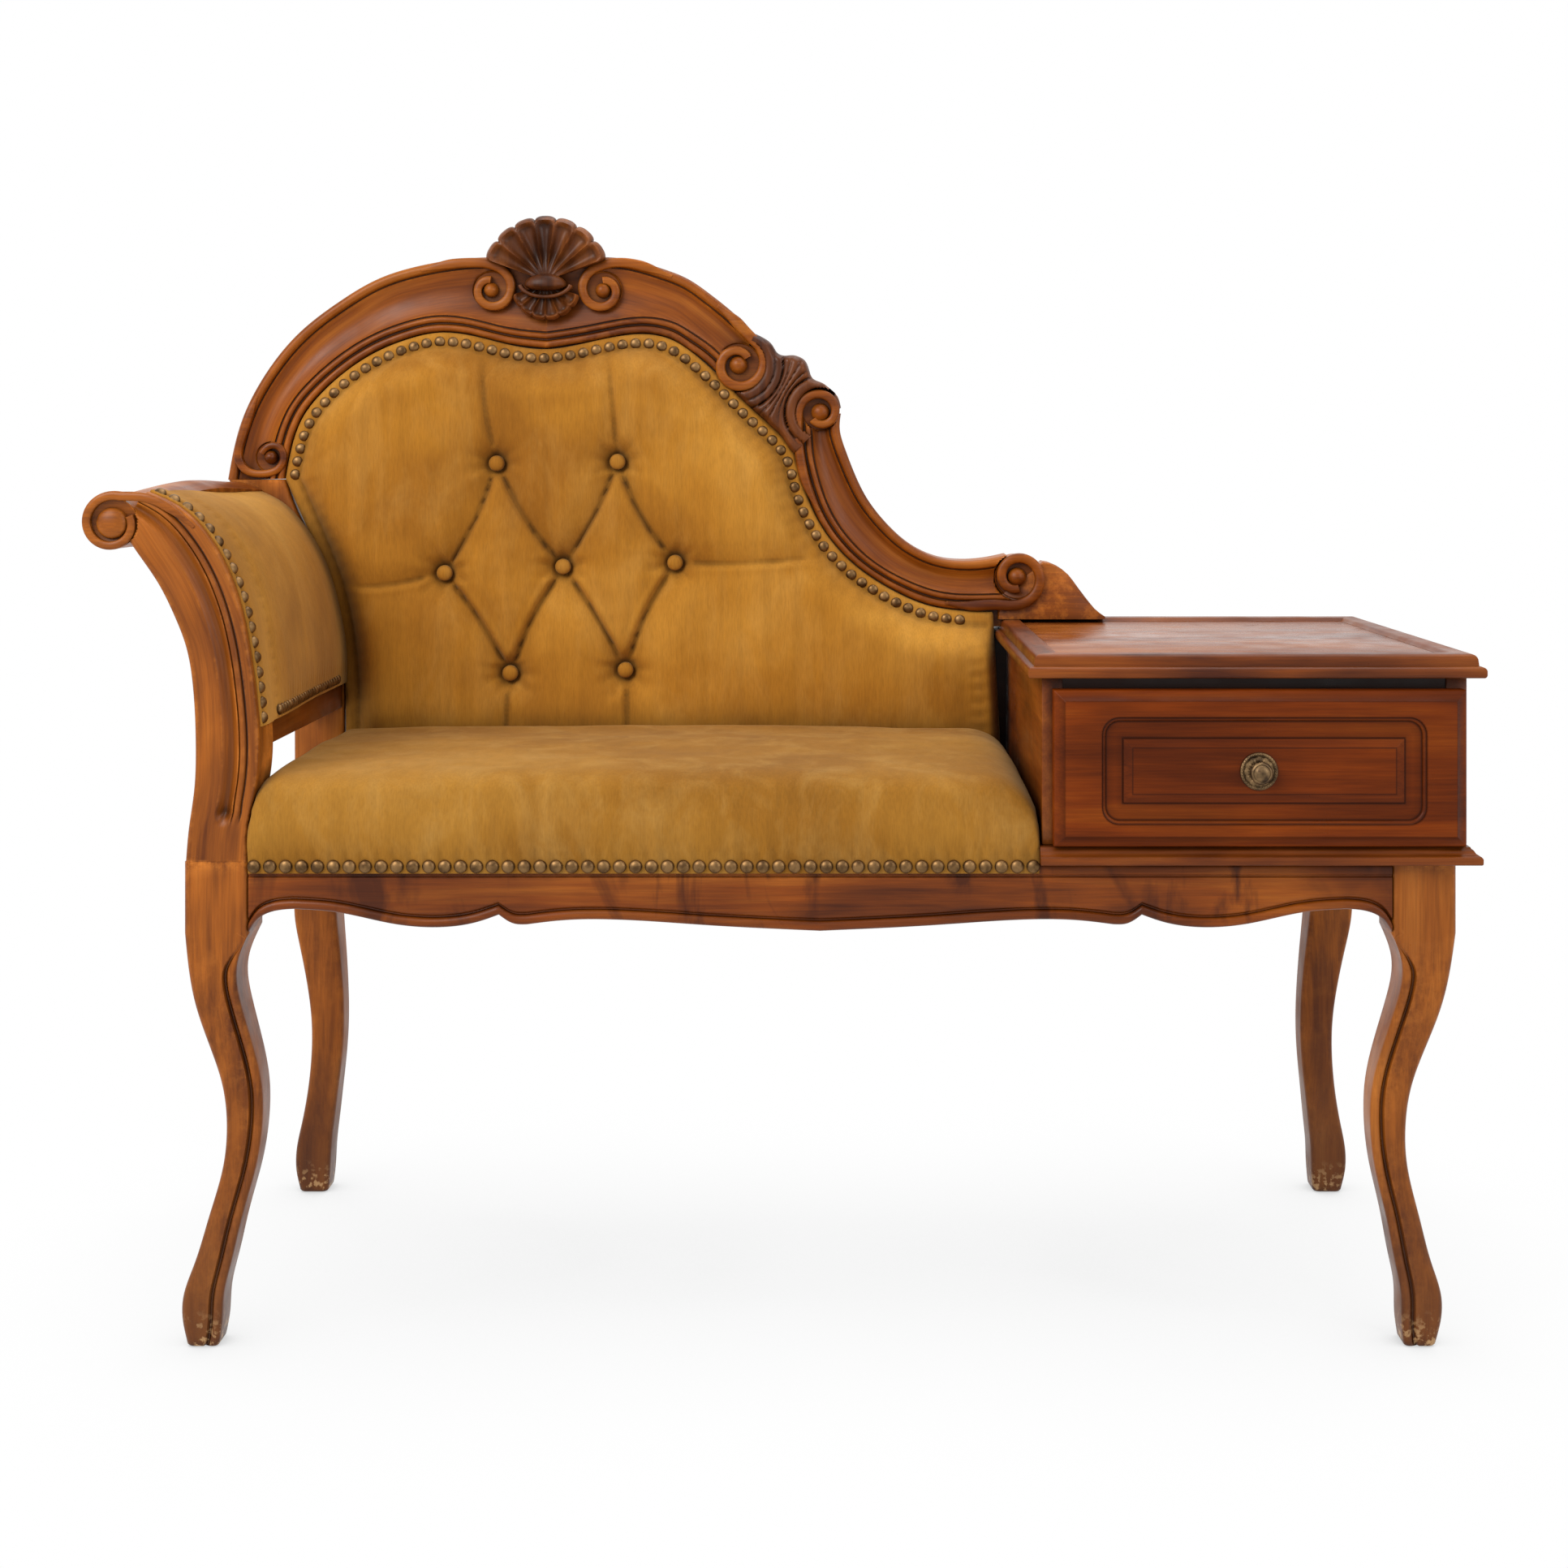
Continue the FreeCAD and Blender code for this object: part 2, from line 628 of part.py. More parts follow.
CREST_LEFT_STATIONS = [
    ((-61.7, 290.7), (-8.6, 291.4)),
    ((-53.8, 329.8), (-3.0, 322.0)),
    ((-42.0, 362.0), (7.0, 349.0)),
    ((-21.4, 396.8), (24.0, 371.0)),
    ((6.3, 428.8), (48.0, 392.0)),
    ((41.0, 455.6), (76.0, 410.0)),
    ((80.0, 478.0), (106.0, 422.0)),
    ((118.0, 489.5), (133.0, 427.7)),
    ((155.0, 495.5), (163.0, 425.4)),
    ((192.0, 497.0), (196.0, 417.3)),
    ((234.0, 496.0), (234.0, 412.5)),
]
CREST_RIGHT_STATIONS = [
    ((234.0, 496.0), (234.0, 412.5)),
    ((274.0, 497.0), (272.0, 418.6)),
    ((310.0, 495.0), (302.4, 424.7)),
    ((342.0, 486.0), (329.0, 426.2)),
    ((366.4, 475.9), (350.0, 421.0)),
    ((385.0, 463.0), (363.0, 413.0)),
    ((400.3, 451.0), (376.0, 404.0)),
    ((415.0, 438.0), (388.0, 393.5)),
    ((427.0, 426.0), (402.0, 380.0)),
]
SWEPT_STATIONS = [
    ((506.5, 352.0), (465.0, 352.0)),
    ((505.5, 338.0), (465.0, 334.0)),
    ((510.2, 320.0), (466.5, 313.0)),
    ((521.0, 292.4), (472.0, 289.0)),
    ((533.6, 269.0), (482.0, 261.0)),
    ((550.7, 248.0), (498.0, 235.0)),
    ((569.7, 231.2), (520.0, 212.0)),
    ((592.9, 219.5), (552.0, 190.5)),
    ((616.2, 215.7), (590.0, 174.5)),
    ((640.0, 217.0), (630.0, 170.0)),
    ((660.0, 221.0), (665.0, 170.5)),
]


SCROLL_PROUD = 1.0
SCROLL_FACE = BACK_FRONT - SCROLL_PROUD
CREST_SCROLL = ((414.0, 397.0), 22.0)
SWEPT_SCROLL = ((486.0, 352.0), 20.5)


def back_rail(stations, count, last_rebates=(1.0,)):
    """A rail of the back. last_rebates are the shares of the rebate's width at its last stations."""
    rebates = [1.0] * (len(stations) - len(last_rebates)) + list(last_rebates)
    return carved_rail(stations, back_point, BACK_FRONT, BACK_THICK, rebates, count)


def crest_rail_left():
    rail = back_rail(CREST_LEFT_STATIONS, 20)
    rail = volute(rail, back_point((-24.0, 311.3)), 17.0, 6.0, 6.5, 65, SCROLL_FACE, BACK_REAR)
    return volute(rail, back_point((180.5, 465.5)), 20.0, 7.0, 7.5, 155, SCROLL_FACE, BACK_REAR)


def crest_rail_right():
    rail = back_rail(CREST_RIGHT_STATIONS, 13)
    rail = volute(rail, back_point((287.0, 463.0)), 20.0, 7.0, 7.5, 85, SCROLL_FACE, BACK_REAR)
    return volute(rail, back_point(CREST_SCROLL[0]), CREST_SCROLL[1], 7.0, 8.5, 125, SCROLL_FACE, BACK_REAR)


def swept_rail():
    """The rail that sweeps down to the table. Its rebate runs out where it reaches the table."""
    rail = back_rail(SWEPT_STATIONS, 18, (0.6, 0.1))
    rail = volute(rail, back_point(SWEPT_SCROLL[0]), SWEPT_SCROLL[1], 7.0, 9.0, 18, SCROLL_FACE, BACK_REAR)
    return volute(rail, back_point(END_SCROLL[0]), END_SCROLL[1], 8.0, 8.5, 95, SCROLL_FACE, BACK_REAR)


# The shell on the crest: seven hollow flutes fan out above a boss, with a small fan of five below it
SHELL_CENTRE = (234.0, 475.0)
SHELL_RADIUS = 60.0
SHELL_FLUTES = 7
SHELL_HALF_ANGLE = 70.0
SHELL_PROUD = 12.0
SMALL_FAN_RADIUS = 33.0
SMALL_FAN_FLUTES = 5
SMALL_FAN_HALF_ANGLE = 75.0
SHELL_BOSS = 13.0
SHELL_BLOCK_SHARE = 0.93
SHELL_BLOCK_BACK = 11.0
CREST_TOP = 497.0
FLUTE_STEPS = 4


def fan(centre, radius, flutes, middle, half_angle, proud, y_back):
    """A scallop: hollow flutes with ridges between them, a lobed rim and a flat back."""
    rays = flutes * FLUTE_STEPS + 1
    rings = ((0.12, 0.55), (0.35, 0.8), (0.65, 1.0), (0.88, 0.92), (1.0, 0.55))
    rows = []
    for k in range(rays):
        hollow = math.sin(math.pi * (k % FLUTE_STEPS) / FLUTE_STEPS)
        angle = math.radians(middle - half_angle + 2 * half_angle * k / (rays - 1))
        row = []
        for share, rise in rings:
            reach = radius * (share - (0.07 * (1 - hollow) if share == 1.0 else 0))
            y = y_back - proud * rise + 0.42 * proud * hollow * share
            row.append(V(centre[0] + reach * math.cos(angle), y, centre[1] + reach * math.sin(angle)))
        rows.append(row)
    backs = [[V(p.x, y_back, p.z) for p in (row[0], row[-1])] for row in rows]
    return faceted([row + [back[1], back[0]] for row, back in zip(rows, backs)])


def crest_shell():
    """The carved shell: glued to the face of the crest, and thick where it stands above it."""
    centre = back_point(SHELL_CENTRE)
    seat = SCROLL_FACE - SEAT_GAP
    upper = fan(centre, SHELL_RADIUS, SHELL_FLUTES, 90, SHELL_HALF_ANGLE, SHELL_PROUD, seat)
    lower = fan(centre, SMALL_FAN_RADIUS, SMALL_FAN_FLUTES, -90, SMALL_FAN_HALF_ANGLE, SHELL_PROUD * 0.7, seat)
    low = back_point((SHELL_CENTRE[0], CREST_TOP))[1] + SEAT_GAP
    reach = SHELL_RADIUS * SHELL_BLOCK_SHARE
    outline = [V(centre[0], seat, centre[1])]
    for k in range(-4, 5):
        a = math.radians(90 + SHELL_HALF_ANGLE * k / 4)
        outline.append(V(centre[0] + reach * math.cos(a), seat, centre[1] + reach * math.sin(a)))
    block = Part.Face(closed(outline)).extrude(V(0, BACK_THICK - SHELL_BLOCK_BACK, 0))
    above = box(centre[0] - reach, centre[0] + reach, seat, BACK_REAR, low, low + SHELL_RADIUS)
    block = block.common(above)
    boss_steps = [(SHELL_BOSS * 0.9, 0), (SHELL_BOSS, 5.0), (SHELL_BOSS * 0.8, 11.0), (SHELL_BOSS * 0.3, 15.0)]
    boss = stack(centre, [(radius, seat - rise) for radius, rise in boss_steps], 10)
    return upper.fuse([lower, block, boss]).removeSplitter()


# The upper and right edge of the clasp in three lobes, then its lower edge, which follows the pad in
# front and runs on behind the pad at the back
CLASP_TOP = [
    [(427.6, 425.8), (443.0, 417.5), (449.5, 410.0), (451.5, 404.5)],
    [(451.5, 404.5), (459.0, 406.0), (466.2, 405.1), (473.0, 402.3), (477.1, 394.2), (478.6, 385.0)],
    [(478.6, 385.0), (489.0, 380.5), (496.0, 373.5), (503.0, 367.7), (506.5, 357.0)],
]
CLASP_FOOT = (506.5, 352.3)
CLASP_LOW = [(464.2, 316.8), (451.2, 334.5), (426.2, 357.5), (402.3, 379.6)]
CLASP_LOW_BEHIND = [(454.0, 311.0), (443.5, 326.5), (418.5, 349.5), (399.5, 370.5)]
CLASP_PROUD = 4.0
CLASP_GROOVE = 2.6
CLASP_COLLAR = 6.0
COLLAR_LINE = 2.0
CLASP_VEINS = [
    ((437.5, 370.0), (454.5, 398.0)), ((445.0, 366.0), (462.0, 397.0)), ((452.5, 363.0), (469.5, 395.0)),
]
VEIN_WIDE = 5.0


def ring_groove(centre, radius, wide, y0, y1):
    return disc(centre, radius + wide, y0, y1).cut(disc(centre, radius, y0 - 1, y1 + 1))


def clasp_plate(low, y0, y1):
    curves = CLASP_TOP + [
        [CLASP_TOP[-1][-1], CLASP_FOOT], [CLASP_FOOT, (low[0][0], CLASP_FOOT[1])],
        [(low[0][0], CLASP_FOOT[1]), low[0]], low, [low[-1], CLASP_TOP[0][0]],
    ]
    return slab([[back_point(p) for p in curve] for curve in curves], y0, y1)


def leaf_clasp():
    """The carved leaf that ties the crest to the swept rail: collars round both scrolls and flutes between."""
    face = BACK_FRONT - CLASP_PROUD
    step_y = BACK_FRONT + REBATE_DEEP - SEAT_GAP
    front = clasp_plate(CLASP_LOW, face, step_y)
    rear = clasp_plate(CLASP_LOW_BEHIND, step_y, BACK_REAR - 2)
    shape = front.fuse(rear).removeSplitter()
    cuts = []
    for place, radius in (CREST_SCROLL, SWEPT_SCROLL):
        centre = back_point(place)
        cuts.append(disc(centre, radius + SEAT_GAP, face - 1, BACK_REAR + 1))
        cuts.append(ring_groove(centre, radius + CLASP_COLLAR, COLLAR_LINE, face - 1, face + CLASP_GROOVE))
    for lower, upper in CLASP_VEINS:
        cuts.append(groove(back_point(lower), back_point(upper), VEIN_WIDE, CLASP_GROOVE, face))
    return shape.cut(cuts)


TAIL_TOP = [
    (694.0, 215.0), (706.8, 211.0), (715.5, 204.8), (726.0, 191.3), (736.6, 177.2), (745.0, 168.5),
    (752.0, 163.5),
]
TAIL_START = (667.5, 190.0)
TAIL_INSET = 4.0


def tail_bracket():
    """The bracket under the end scroll, which stands on the back edge of the table top."""
    low = TABLE_TOP
    top = [back_point(p) for p in TAIL_TOP]
    start = back_point(TAIL_START)
    curves = [
        [start, top[0]], top, [top[-1], (top[-1][0], low)],
        [(top[-1][0], low), (start[0], low)], [(start[0], low), start],
    ]
    shape = slab(curves, BACK_FRONT + TAIL_INSET, BACK_REAR - TAIL_INSET)
    return shape.cut(disc(back_point(END_SCROLL[0]), END_SCROLL[1] + SEAT_GAP, BACK_FRONT, BACK_REAR))


# The back's upholstery, inside the frame. The outline runs clockwise as seen from the front.
PAD_POINTS = [
    (47.3, 10.0), (47.3, 105.0), (43.0, 150.0), (32.5, 195.0), (17.0, 235.0), (-7.6, 291.4),
    (-1.5, 322.0), (8.5, 348.5), (25.0, 370.0), (48.6, 391.2), (76.6, 409.0), (106.5, 421.0), (133.0, 426.6),
    (163.0, 424.2), (196.0, 416.2), (234.0, 411.4), (272.0, 417.5), (302.4, 423.6), (329.0, 425.0),
    (349.6, 420.0), (375.0, 403.0), (401.0, 379.0), (424.0, 356.0), (449.0, 333.0),
    (463.8, 313.0), (470.9, 289.0), (481.0, 260.5), (497.1, 234.3), (519.3, 211.1), (551.5, 189.5),
    (589.7, 173.4), (620.0, 169.2), (648.0, 168.5), (648.0, 10.0),
]
PAD_CORNER_INDEX = (0, 5, 32, 33)
TUFTS = [
    (190.3, 305.9), (301.3, 307.4), (142.5, 205.2), (251.3, 211.1), (354.2, 214.7), (202.8, 113.3),
    (308.6, 116.2),
]
# Pleats between two tufts, then those from a tuft to the edge of the pad
PLEAT_PAIR_INDEX = [(0, 2), (0, 3), (1, 3), (1, 4), (2, 5), (3, 5), (3, 6), (4, 6)]
PLEAT_OUT_INDEX = [0, 1, 2, 4, 5, 6]
PLEAT_ENDS = [(177.3, 405.8), (291.5, 409.5), (46.4, 192.0), (487.2, 219.9), (202.8, 15.0), (308.6, 15.0)]
# How the pad rises from the flat edge under the nails: inwards from the outline, share of its lift
PAD_MARGIN = 0.4
PAD_TUCK = 8.7
PAD_RISE = [(PAD_MARGIN, 0.006), (14.0, 0.013), (18.0, 0.355), (28.0, 0.742), (44.0, 1.0)]
PAD_SIDE_CUTS = 10
PAD_TOP_CUTS = 52
BUTTON_RADIUS = 8.0
TUFT_DEEP = 14.0
TUFT_MOUTH = 26.0
PLEAT_WIDE = 14.0
PLEAT_DEEP = 7.0


def pad_ring(distance, y):
    """The pad's outline moved inwards, with as many points at every distance."""
    points = inset([back_point(p) for p in PAD_POINTS], distance, PAD_CORNER_INDEX)
    left, top, right, low = runs(points, PAD_CORNER_INDEX)
    path = trace([left], PAD_SIDE_CUTS) + trace([top], PAD_TOP_CUTS)[1:] + right[1:]
    return [V(x, y, z) for x, z in path]


def back_pad():
    """The buttoned pad: a crowned cushion with a dimple at each button and a pleat between them."""
    rings = [pad_ring(PAD_MARGIN, PAD_EDGE_Y + PAD_TUCK)]
    rings += [pad_ring(distance, PAD_EDGE_Y - rise * PAD_LIFT) for distance, rise in PAD_RISE]
    shape = faceted(rings)
    crown = PAD_EDGE_Y - PAD_LIFT
    dimple = [(TUFT_MOUTH, crown - 1), (BUTTON_RADIUS * 2, crown + 5), (BUTTON_RADIUS + 1, crown + TUFT_DEEP)]
    places = [back_point(p) for p in TUFTS]
    cuts = [stack(place, dimple, 8) for place in places]
    lines = [(places[a], places[b]) for a, b in PLEAT_PAIR_INDEX]
    lines += [(places[a], back_point(end)) for a, end in zip(PLEAT_OUT_INDEX, PLEAT_ENDS)]
    cuts += [groove(start, end, PLEAT_WIDE, PLEAT_DEEP, crown) for start, end in lines]
    return shape.cut(cuts)


def back_buttons():
    """Seven covered buttons, each sunk in its dimple."""
    floor = PAD_EDGE_Y - PAD_LIFT + TUFT_DEEP - SEAT_GAP
    steps = [(BUTTON_RADIUS, floor), (BUTTON_RADIUS, floor - 2.5), (BUTTON_RADIUS * 0.5, floor - 5.0)]
    return [stack(back_point(p), steps, 8) for p in TUFTS]


def back_panel(y0, y1, distance):
    """A flat panel of the pad's outline: the board behind the pad, and the cloth on the wall side."""
    return Part.Face(closed(pad_ring(distance, y0))).extrude(V(0, y1 - y0, 0))


def nail(point, way, radius=NAIL_RADIUS):
    """A domed upholstery nail head, six-sided, on a surface point and facing along way."""
    way = way.normalize()
    across = V(0, 0, 1) if abs(way.z) < 0.9 else V(0, 1, 0)
    across = across.cross(way).normalize()
    other = way.cross(across)

    def rim(share, height):
        reach = radius * share
        angles = [math.pi * k / 3 for k in range(6)]
        return [
            point + way * height + across * (reach * math.cos(a)) + other * (reach * math.sin(a)) for a in angles
        ]

    return faceted([rim(1.0, 0), rim(0.55, NAIL_HIGH)])


def nail_row(curve_points, make, trim=0.0, pitch=NAIL_STEP):
    """Nails at even steps along a curve. make turns a place on the curve into a nail."""
    places = [V(x, 0, z) for x, z in curve_points]
    path = smooth(places).toShape() if len(places) > 2 else Part.LineSegment(*places).toShape()
    length = path.Length - 2 * trim
    count = max(2, int(round(length / pitch)) + 1)
    fine = path.discretize(Number=400)
    total = 0.0
    marks = [trim + length * k / (count - 1) for k in range(count)]
    nails = []
    for a, b in zip(fine, fine[1:]):
        step = (b - a).Length
        while marks and marks[0] <= total + step + 1e-6:
            share = (marks.pop(0) - total) / step
            nails.append(make(a + (b - a) * share, (b - a)))
        total += step
    return nails


NAIL_INSET = 8.5


def back_nails():
    """The row of nails along the top of the back, from the arm to the table."""
    inner = inset([back_point(p) for p in PAD_POINTS], NAIL_INSET, PAD_CORNER_INDEX)
    path = inner[PAD_CORNER_INDEX[1]:PAD_CORNER_INDEX[2]]
    face = PAD_EDGE_Y - NAIL_STANDS
    return nail_row(path, lambda p, way: nail(V(p.x, face, p.z), V(0, -1, 0)), 3.0)


# The arm: a scrolled front post, a top rail, a bottom rail and an upholstered wall between them
POST_STATIONS = [
    ((0.7, 0.0), (49.5, 0.0)),
    ((3.0, 26.0), (49.5, 26.5)),
    ((7.0, 55.0), (54.5, 53.0)),
    ((8.2, 90.0), (58.0, 86.0)),
    ((6.5, 130.0), (54.5, 133.0)),
    ((1.5, 163.0), (49.0, 170.0)),
    ((-8.0, 189.0), (41.5, 203.0)),
    ((-21.0, 215.0), (30.0, 232.0)),
    ((-36.0, 237.0), (14.0, 257.0)),
    ((-45.0, 250.0), (-6.0, 275.0)),
    ((-52.0, 259.0), (-28.0, 285.4)),
]
SCROLL_CENTRE = (-55.4, 261.4)
SCROLL_RADIUS = 24.6


def arm_post():
    post = carved_rail(POST_STATIONS, post_point, LEG_FRONT, POST_DEPTH, [0.0] * len(POST_STATIONS), 18)
    face = LEG_FRONT - SCROLL_PROUD
    return volute(post, post_point(SCROLL_CENTRE), SCROLL_RADIUS, 8.0, 12.0, -35, face, LEG_FRONT + POST_DEPTH)


ARM_START = LEG_FRONT + POST_DEPTH + SEAT_GAP
ARM_END = BACK_FRONT - SEAT_GAP
ARM_RISE = [(0.0, 0.0), (0.25, 5.0), (0.5, 8.0), (0.75, 6.5), (1.0, 4.5)]
ARM_ROLL_UPPER = [(-74.0, 271.0), (-58.0, 283.0), (-42.0, 282.5), (-29.5, 277.0)]
ARM_ROLL_LOWER = [(-29.5, 262.0), (-40.0, 246.0), (-54.0, 241.0), (-70.0, 246.0), (-78.0, 258.0)]


def arm_top_rail():
    """The rolled wooden top of the arm, a little higher in the middle of its length."""
    rings = []
    for share, rise in ARM_RISE:
        y = ARM_START + (ARM_END - ARM_START) * share

        def at(x, z):
            px, pz = post_point((x, z))
            return V(px, y, pz)

        upper = [at(x, z + rise) for x, z in ARM_ROLL_UPPER]
        rings.append(upper + [at(x, z) for x, z in ARM_ROLL_LOWER])
    return faceted(rings)


ARM_BOTTOM_LOW = 80.0
ARM_BOTTOM_HIGH = 103.0


def arm_bottom_rail():
    x0, z0 = post_point((13.0, ARM_BOTTOM_LOW))
    x1, z1 = post_point((45.5, ARM_BOTTOM_HIGH))
    return box(x0, x1, ARM_START, ARM_END, z0, z1)


ARM_PAD_INNER = [
    (49.5, 103.5), (49.5, 130.0), (44.5, 165.0), (36.5, 197.0), (24.5, 227.0), (8.0, 252.0), (-10.0, 270.0),
    (-28.9, 280.0),
]
ARM_PAD_THICK = 20.0
# Share of the arm's length, and how far the padding swells towards the sitter there
ARM_SWELL = [(0.0, 0.0), (0.05, 0.0), (0.1, 3.4), (0.45, 6.0), (0.85, 4.0), (1.0, 0.0)]
ARM_NAIL_IN = 8.0


def arm_pad_inner(swell):
    """The padded face of the arm in section, from its lower edge to the roll."""
    points = []
    count = len(ARM_PAD_INNER)
    for i, (x, z) in enumerate(ARM_PAD_INNER):
        push = swell * math.sin(math.pi * (i + 0.5) / count)
        px, pz = post_point((x, z))
        points.append((px + push, pz + push * 0.3))
    return points


def arm_pad():
    rings = []
    for share, swell in ARM_SWELL:
        y = ARM_START + (ARM_END - ARM_START) * share
        face = arm_pad_inner(swell)
        behind = []
        for i, (x, z) in enumerate(arm_pad_inner(0.0)):
            lean = i / (len(face) - 1)
            behind.append((x - ARM_PAD_THICK * (1 - 0.985 * lean), z - ARM_PAD_THICK * 0.9 * lean))
        behind.reverse()
        rings.append([V(x, y, z) for x, z in face + behind])
    beside_back = Part.Face(closed(pad_ring(-SEAT_GAP, PAD_EDGE_Y - PAD_LIFT))).extrude(V(0, 2 * PAD_LIFT, 0))
    return faceted(rings).cut(beside_back)


ARM_COVER_OUTER = [
    (11.0, 80.3), (10.2, 100.0), (8.5, 130.0), (3.5, 163.0), (-6.0, 189.0), (-19.0, 215.0), (-34.0, 236.0),
]
ARM_COVER_THICK = 1.7


def arm_outside_cover():
    """The cloth on the outer side of the arm, stretched between the post and the stile."""
    face = [post_point(p) for p in ARM_COVER_OUTER]
    inside = [(x + ARM_COVER_THICK, z - ARM_COVER_THICK / 4) for x, z in face]
    inside.reverse()
    return slab([face, [face[-1], inside[0]], inside, [inside[-1], face[0]]], ARM_START, ARM_END)


def arm_front_nails():
    y = ARM_START + ARM_NAIL_IN
    points = arm_pad_inner(0.0)

    def make(p, way):
        facing = V(way.z, 0, -way.x).normalize()
        return nail(V(p.x, y, p.z) + facing * NAIL_STANDS, facing, ARM_NAIL_RADIUS)

    return nail_row(points[:-1], make, 8.0, ARM_NAIL_STEP)


def arm_bottom_nails():
    x, z = post_point((ARM_PAD_INNER[0][0], ARM_BOTTOM_HIGH + 7.0))
    start = ARM_START + 22.0
    end = BACK_FRONT - PAD_LIFT - 10.0
    count = int((end - start) / ARM_NAIL_STEP) + 1
    places = [start + (end - start) * k / (count - 1) for k in range(count)]
    return [nail(V(x + 2.3, y, z), V(1, 0, 0), ARM_NAIL_RADIUS) for y in places]


# Seat

CUSHION_ROUND = 45.0
CUSHION_END = 0.5
CUSHION_STEPS = (0.0, 0.02, 0.07, 0.16, 0.3, 0.52, 0.76, 1.0)


def seat_pad():
    """The seat cushion: crowned, rounded off at its ends, with its cover turned down over the front rail."""
    x0 = LEG_LEFT + BLOCK_WIDTH + SEAT_GAP
    x1 = CASE_LEFT - BASE_LEFT_OVER - SEAT_GAP
    front = LEG_FRONT - COVER
    rear = PAD_EDGE_Y - PAD_LIFT - SEAT_GAP
    low = RAIL_TOP + SEAT_GAP
    shares = [CUSHION_END + (1 - CUSHION_END) * math.sqrt(1 - (1 - step) ** 2) for step in CUSHION_STEPS]
    ends = list(zip(CUSHION_STEPS, shares))
    places = [(x0 + CUSHION_ROUND * step, share) for step, share in ends]
    for part, rise in ((0.3, 0.8), (0.5, 1.0), (0.7, 0.8)):
        places.append((x0 + (x1 - x0) * part, 1.0 + SEAT_RISE / SEAT_CROWN * rise))
    places += [(x1 - CUSHION_ROUND * step, share) for step, share in reversed(ends)]
    rings = []
    for x, share in places:
        top = RAIL_TOP + SEAT_CROWN * share
        shoulder = low + (top - low) * 0.66
        swell = SEAT_BULGE * share
        rings.append([
            V(x, rear, low), V(x, front, low), V(x, front - swell * 0.8, low + (shoulder - low) * 0.3),
            V(x, front - swell, low + (shoulder - low) * 0.65), V(x, front + 1.5, shoulder),
            V(x, front + 6, top - 11 * share), V(x, front + 15, top - 4.5 * share), V(x, front + 34, top - 1),
            V(x, front + 110, top + 1), V(x, rear, top),
        ])
    lip = box(x0, x1, front, LEG_FRONT - SEAT_GAP, RAIL_TOP - COVER_DROP, low + 2)
    beside_post = [(x + SEAT_GAP * 2, z) for x, z in (post_point(inner) for outer, inner in POST_STATIONS[:5])]
    space = slab([beside_post, [beside_post[-1], (x0 - 1, beside_post[-1][1])],
                  [(x0 - 1, beside_post[-1][1]), (x0 - 1, beside_post[0][1])],
                  [(x0 - 1, beside_post[0][1]), beside_post[0]]],
                 front - 2 * SEAT_BULGE, LEG_FRONT + POST_DEPTH + SEAT_GAP)
    return faceted(rings).cut(space).fuse(lip).removeSplitter()


def seat_nails():
    x0 = LEG_LEFT + BLOCK_WIDTH + 5.0
    x1 = CASE_LEFT - 7.0
    z = RAIL_TOP - COVER_DROP + NAIL_RADIUS + 1
    face = LEG_FRONT - COVER - NAIL_STANDS
    return nail_row([(x0, z), (x1, z)], lambda p, way: nail(V(p.x, face, p.z), V(0, -1, 0)))


def seat_board():
    """The plywood base of the seat, let in between the rails on their corner blocks."""
    x0 = LEG_LEFT + BLOCK_WIDTH + SEAT_GAP
    x1 = CASE_LEFT - RAIL_THICK / 2 - SEAT_GAP
    return box(x0, x1, LEG_FRONT + RAIL_THICK + SEAT_GAP, LEG_REAR - RAIL_THICK - SEAT_GAP,
               RAIL_TOP - SEAT_BOARD, RAIL_TOP)


# Table


def moulded_board(x0, x1, y0, y1, z0, steps, sides):
    """A board whose edges step in as it rises. sides says how far each edge follows: left, right, front, back."""
    left, right, front, back = sides
    rings = []
    for rise, d in steps:
        rings.append(rectangle(x0 + left * d, x1 - right * d, y0 + front * d, y1 - back * d, z0 + rise))
    return faceted(rings)


def case_base():
    """The moulded board that the table stands on, over the front, right and rear rails."""
    steps = [(0, 1.0), (1.2, 0), (5.0, 0), (6.5, 2.0), (8.0, 6.0), (10.0, 7.5), (BASE_THICK, 8.0)]
    return moulded_board(CASE_LEFT - BASE_LEFT_OVER, CASE_RIGHT + BASE_SIDE_OVER, LEG_FRONT - TOP_FRONT_OVER,
                         LEG_REAR, RAIL_TOP, steps, (0, 1, 1, 0))


TOP_STEPS = [
    (0, 1.5), (2.0, 0), (6.0, 0.4), (8.0, 2.6), (9.0, 5.0), (11.0, 5.2), (14.0, 6.0), (TOP_THICK - 1, 7.2),
    (TOP_THICK, 9.0),
]


MITRE_WAYS = ((-1, -1), (1, -1), (1, 1), (-1, 1))


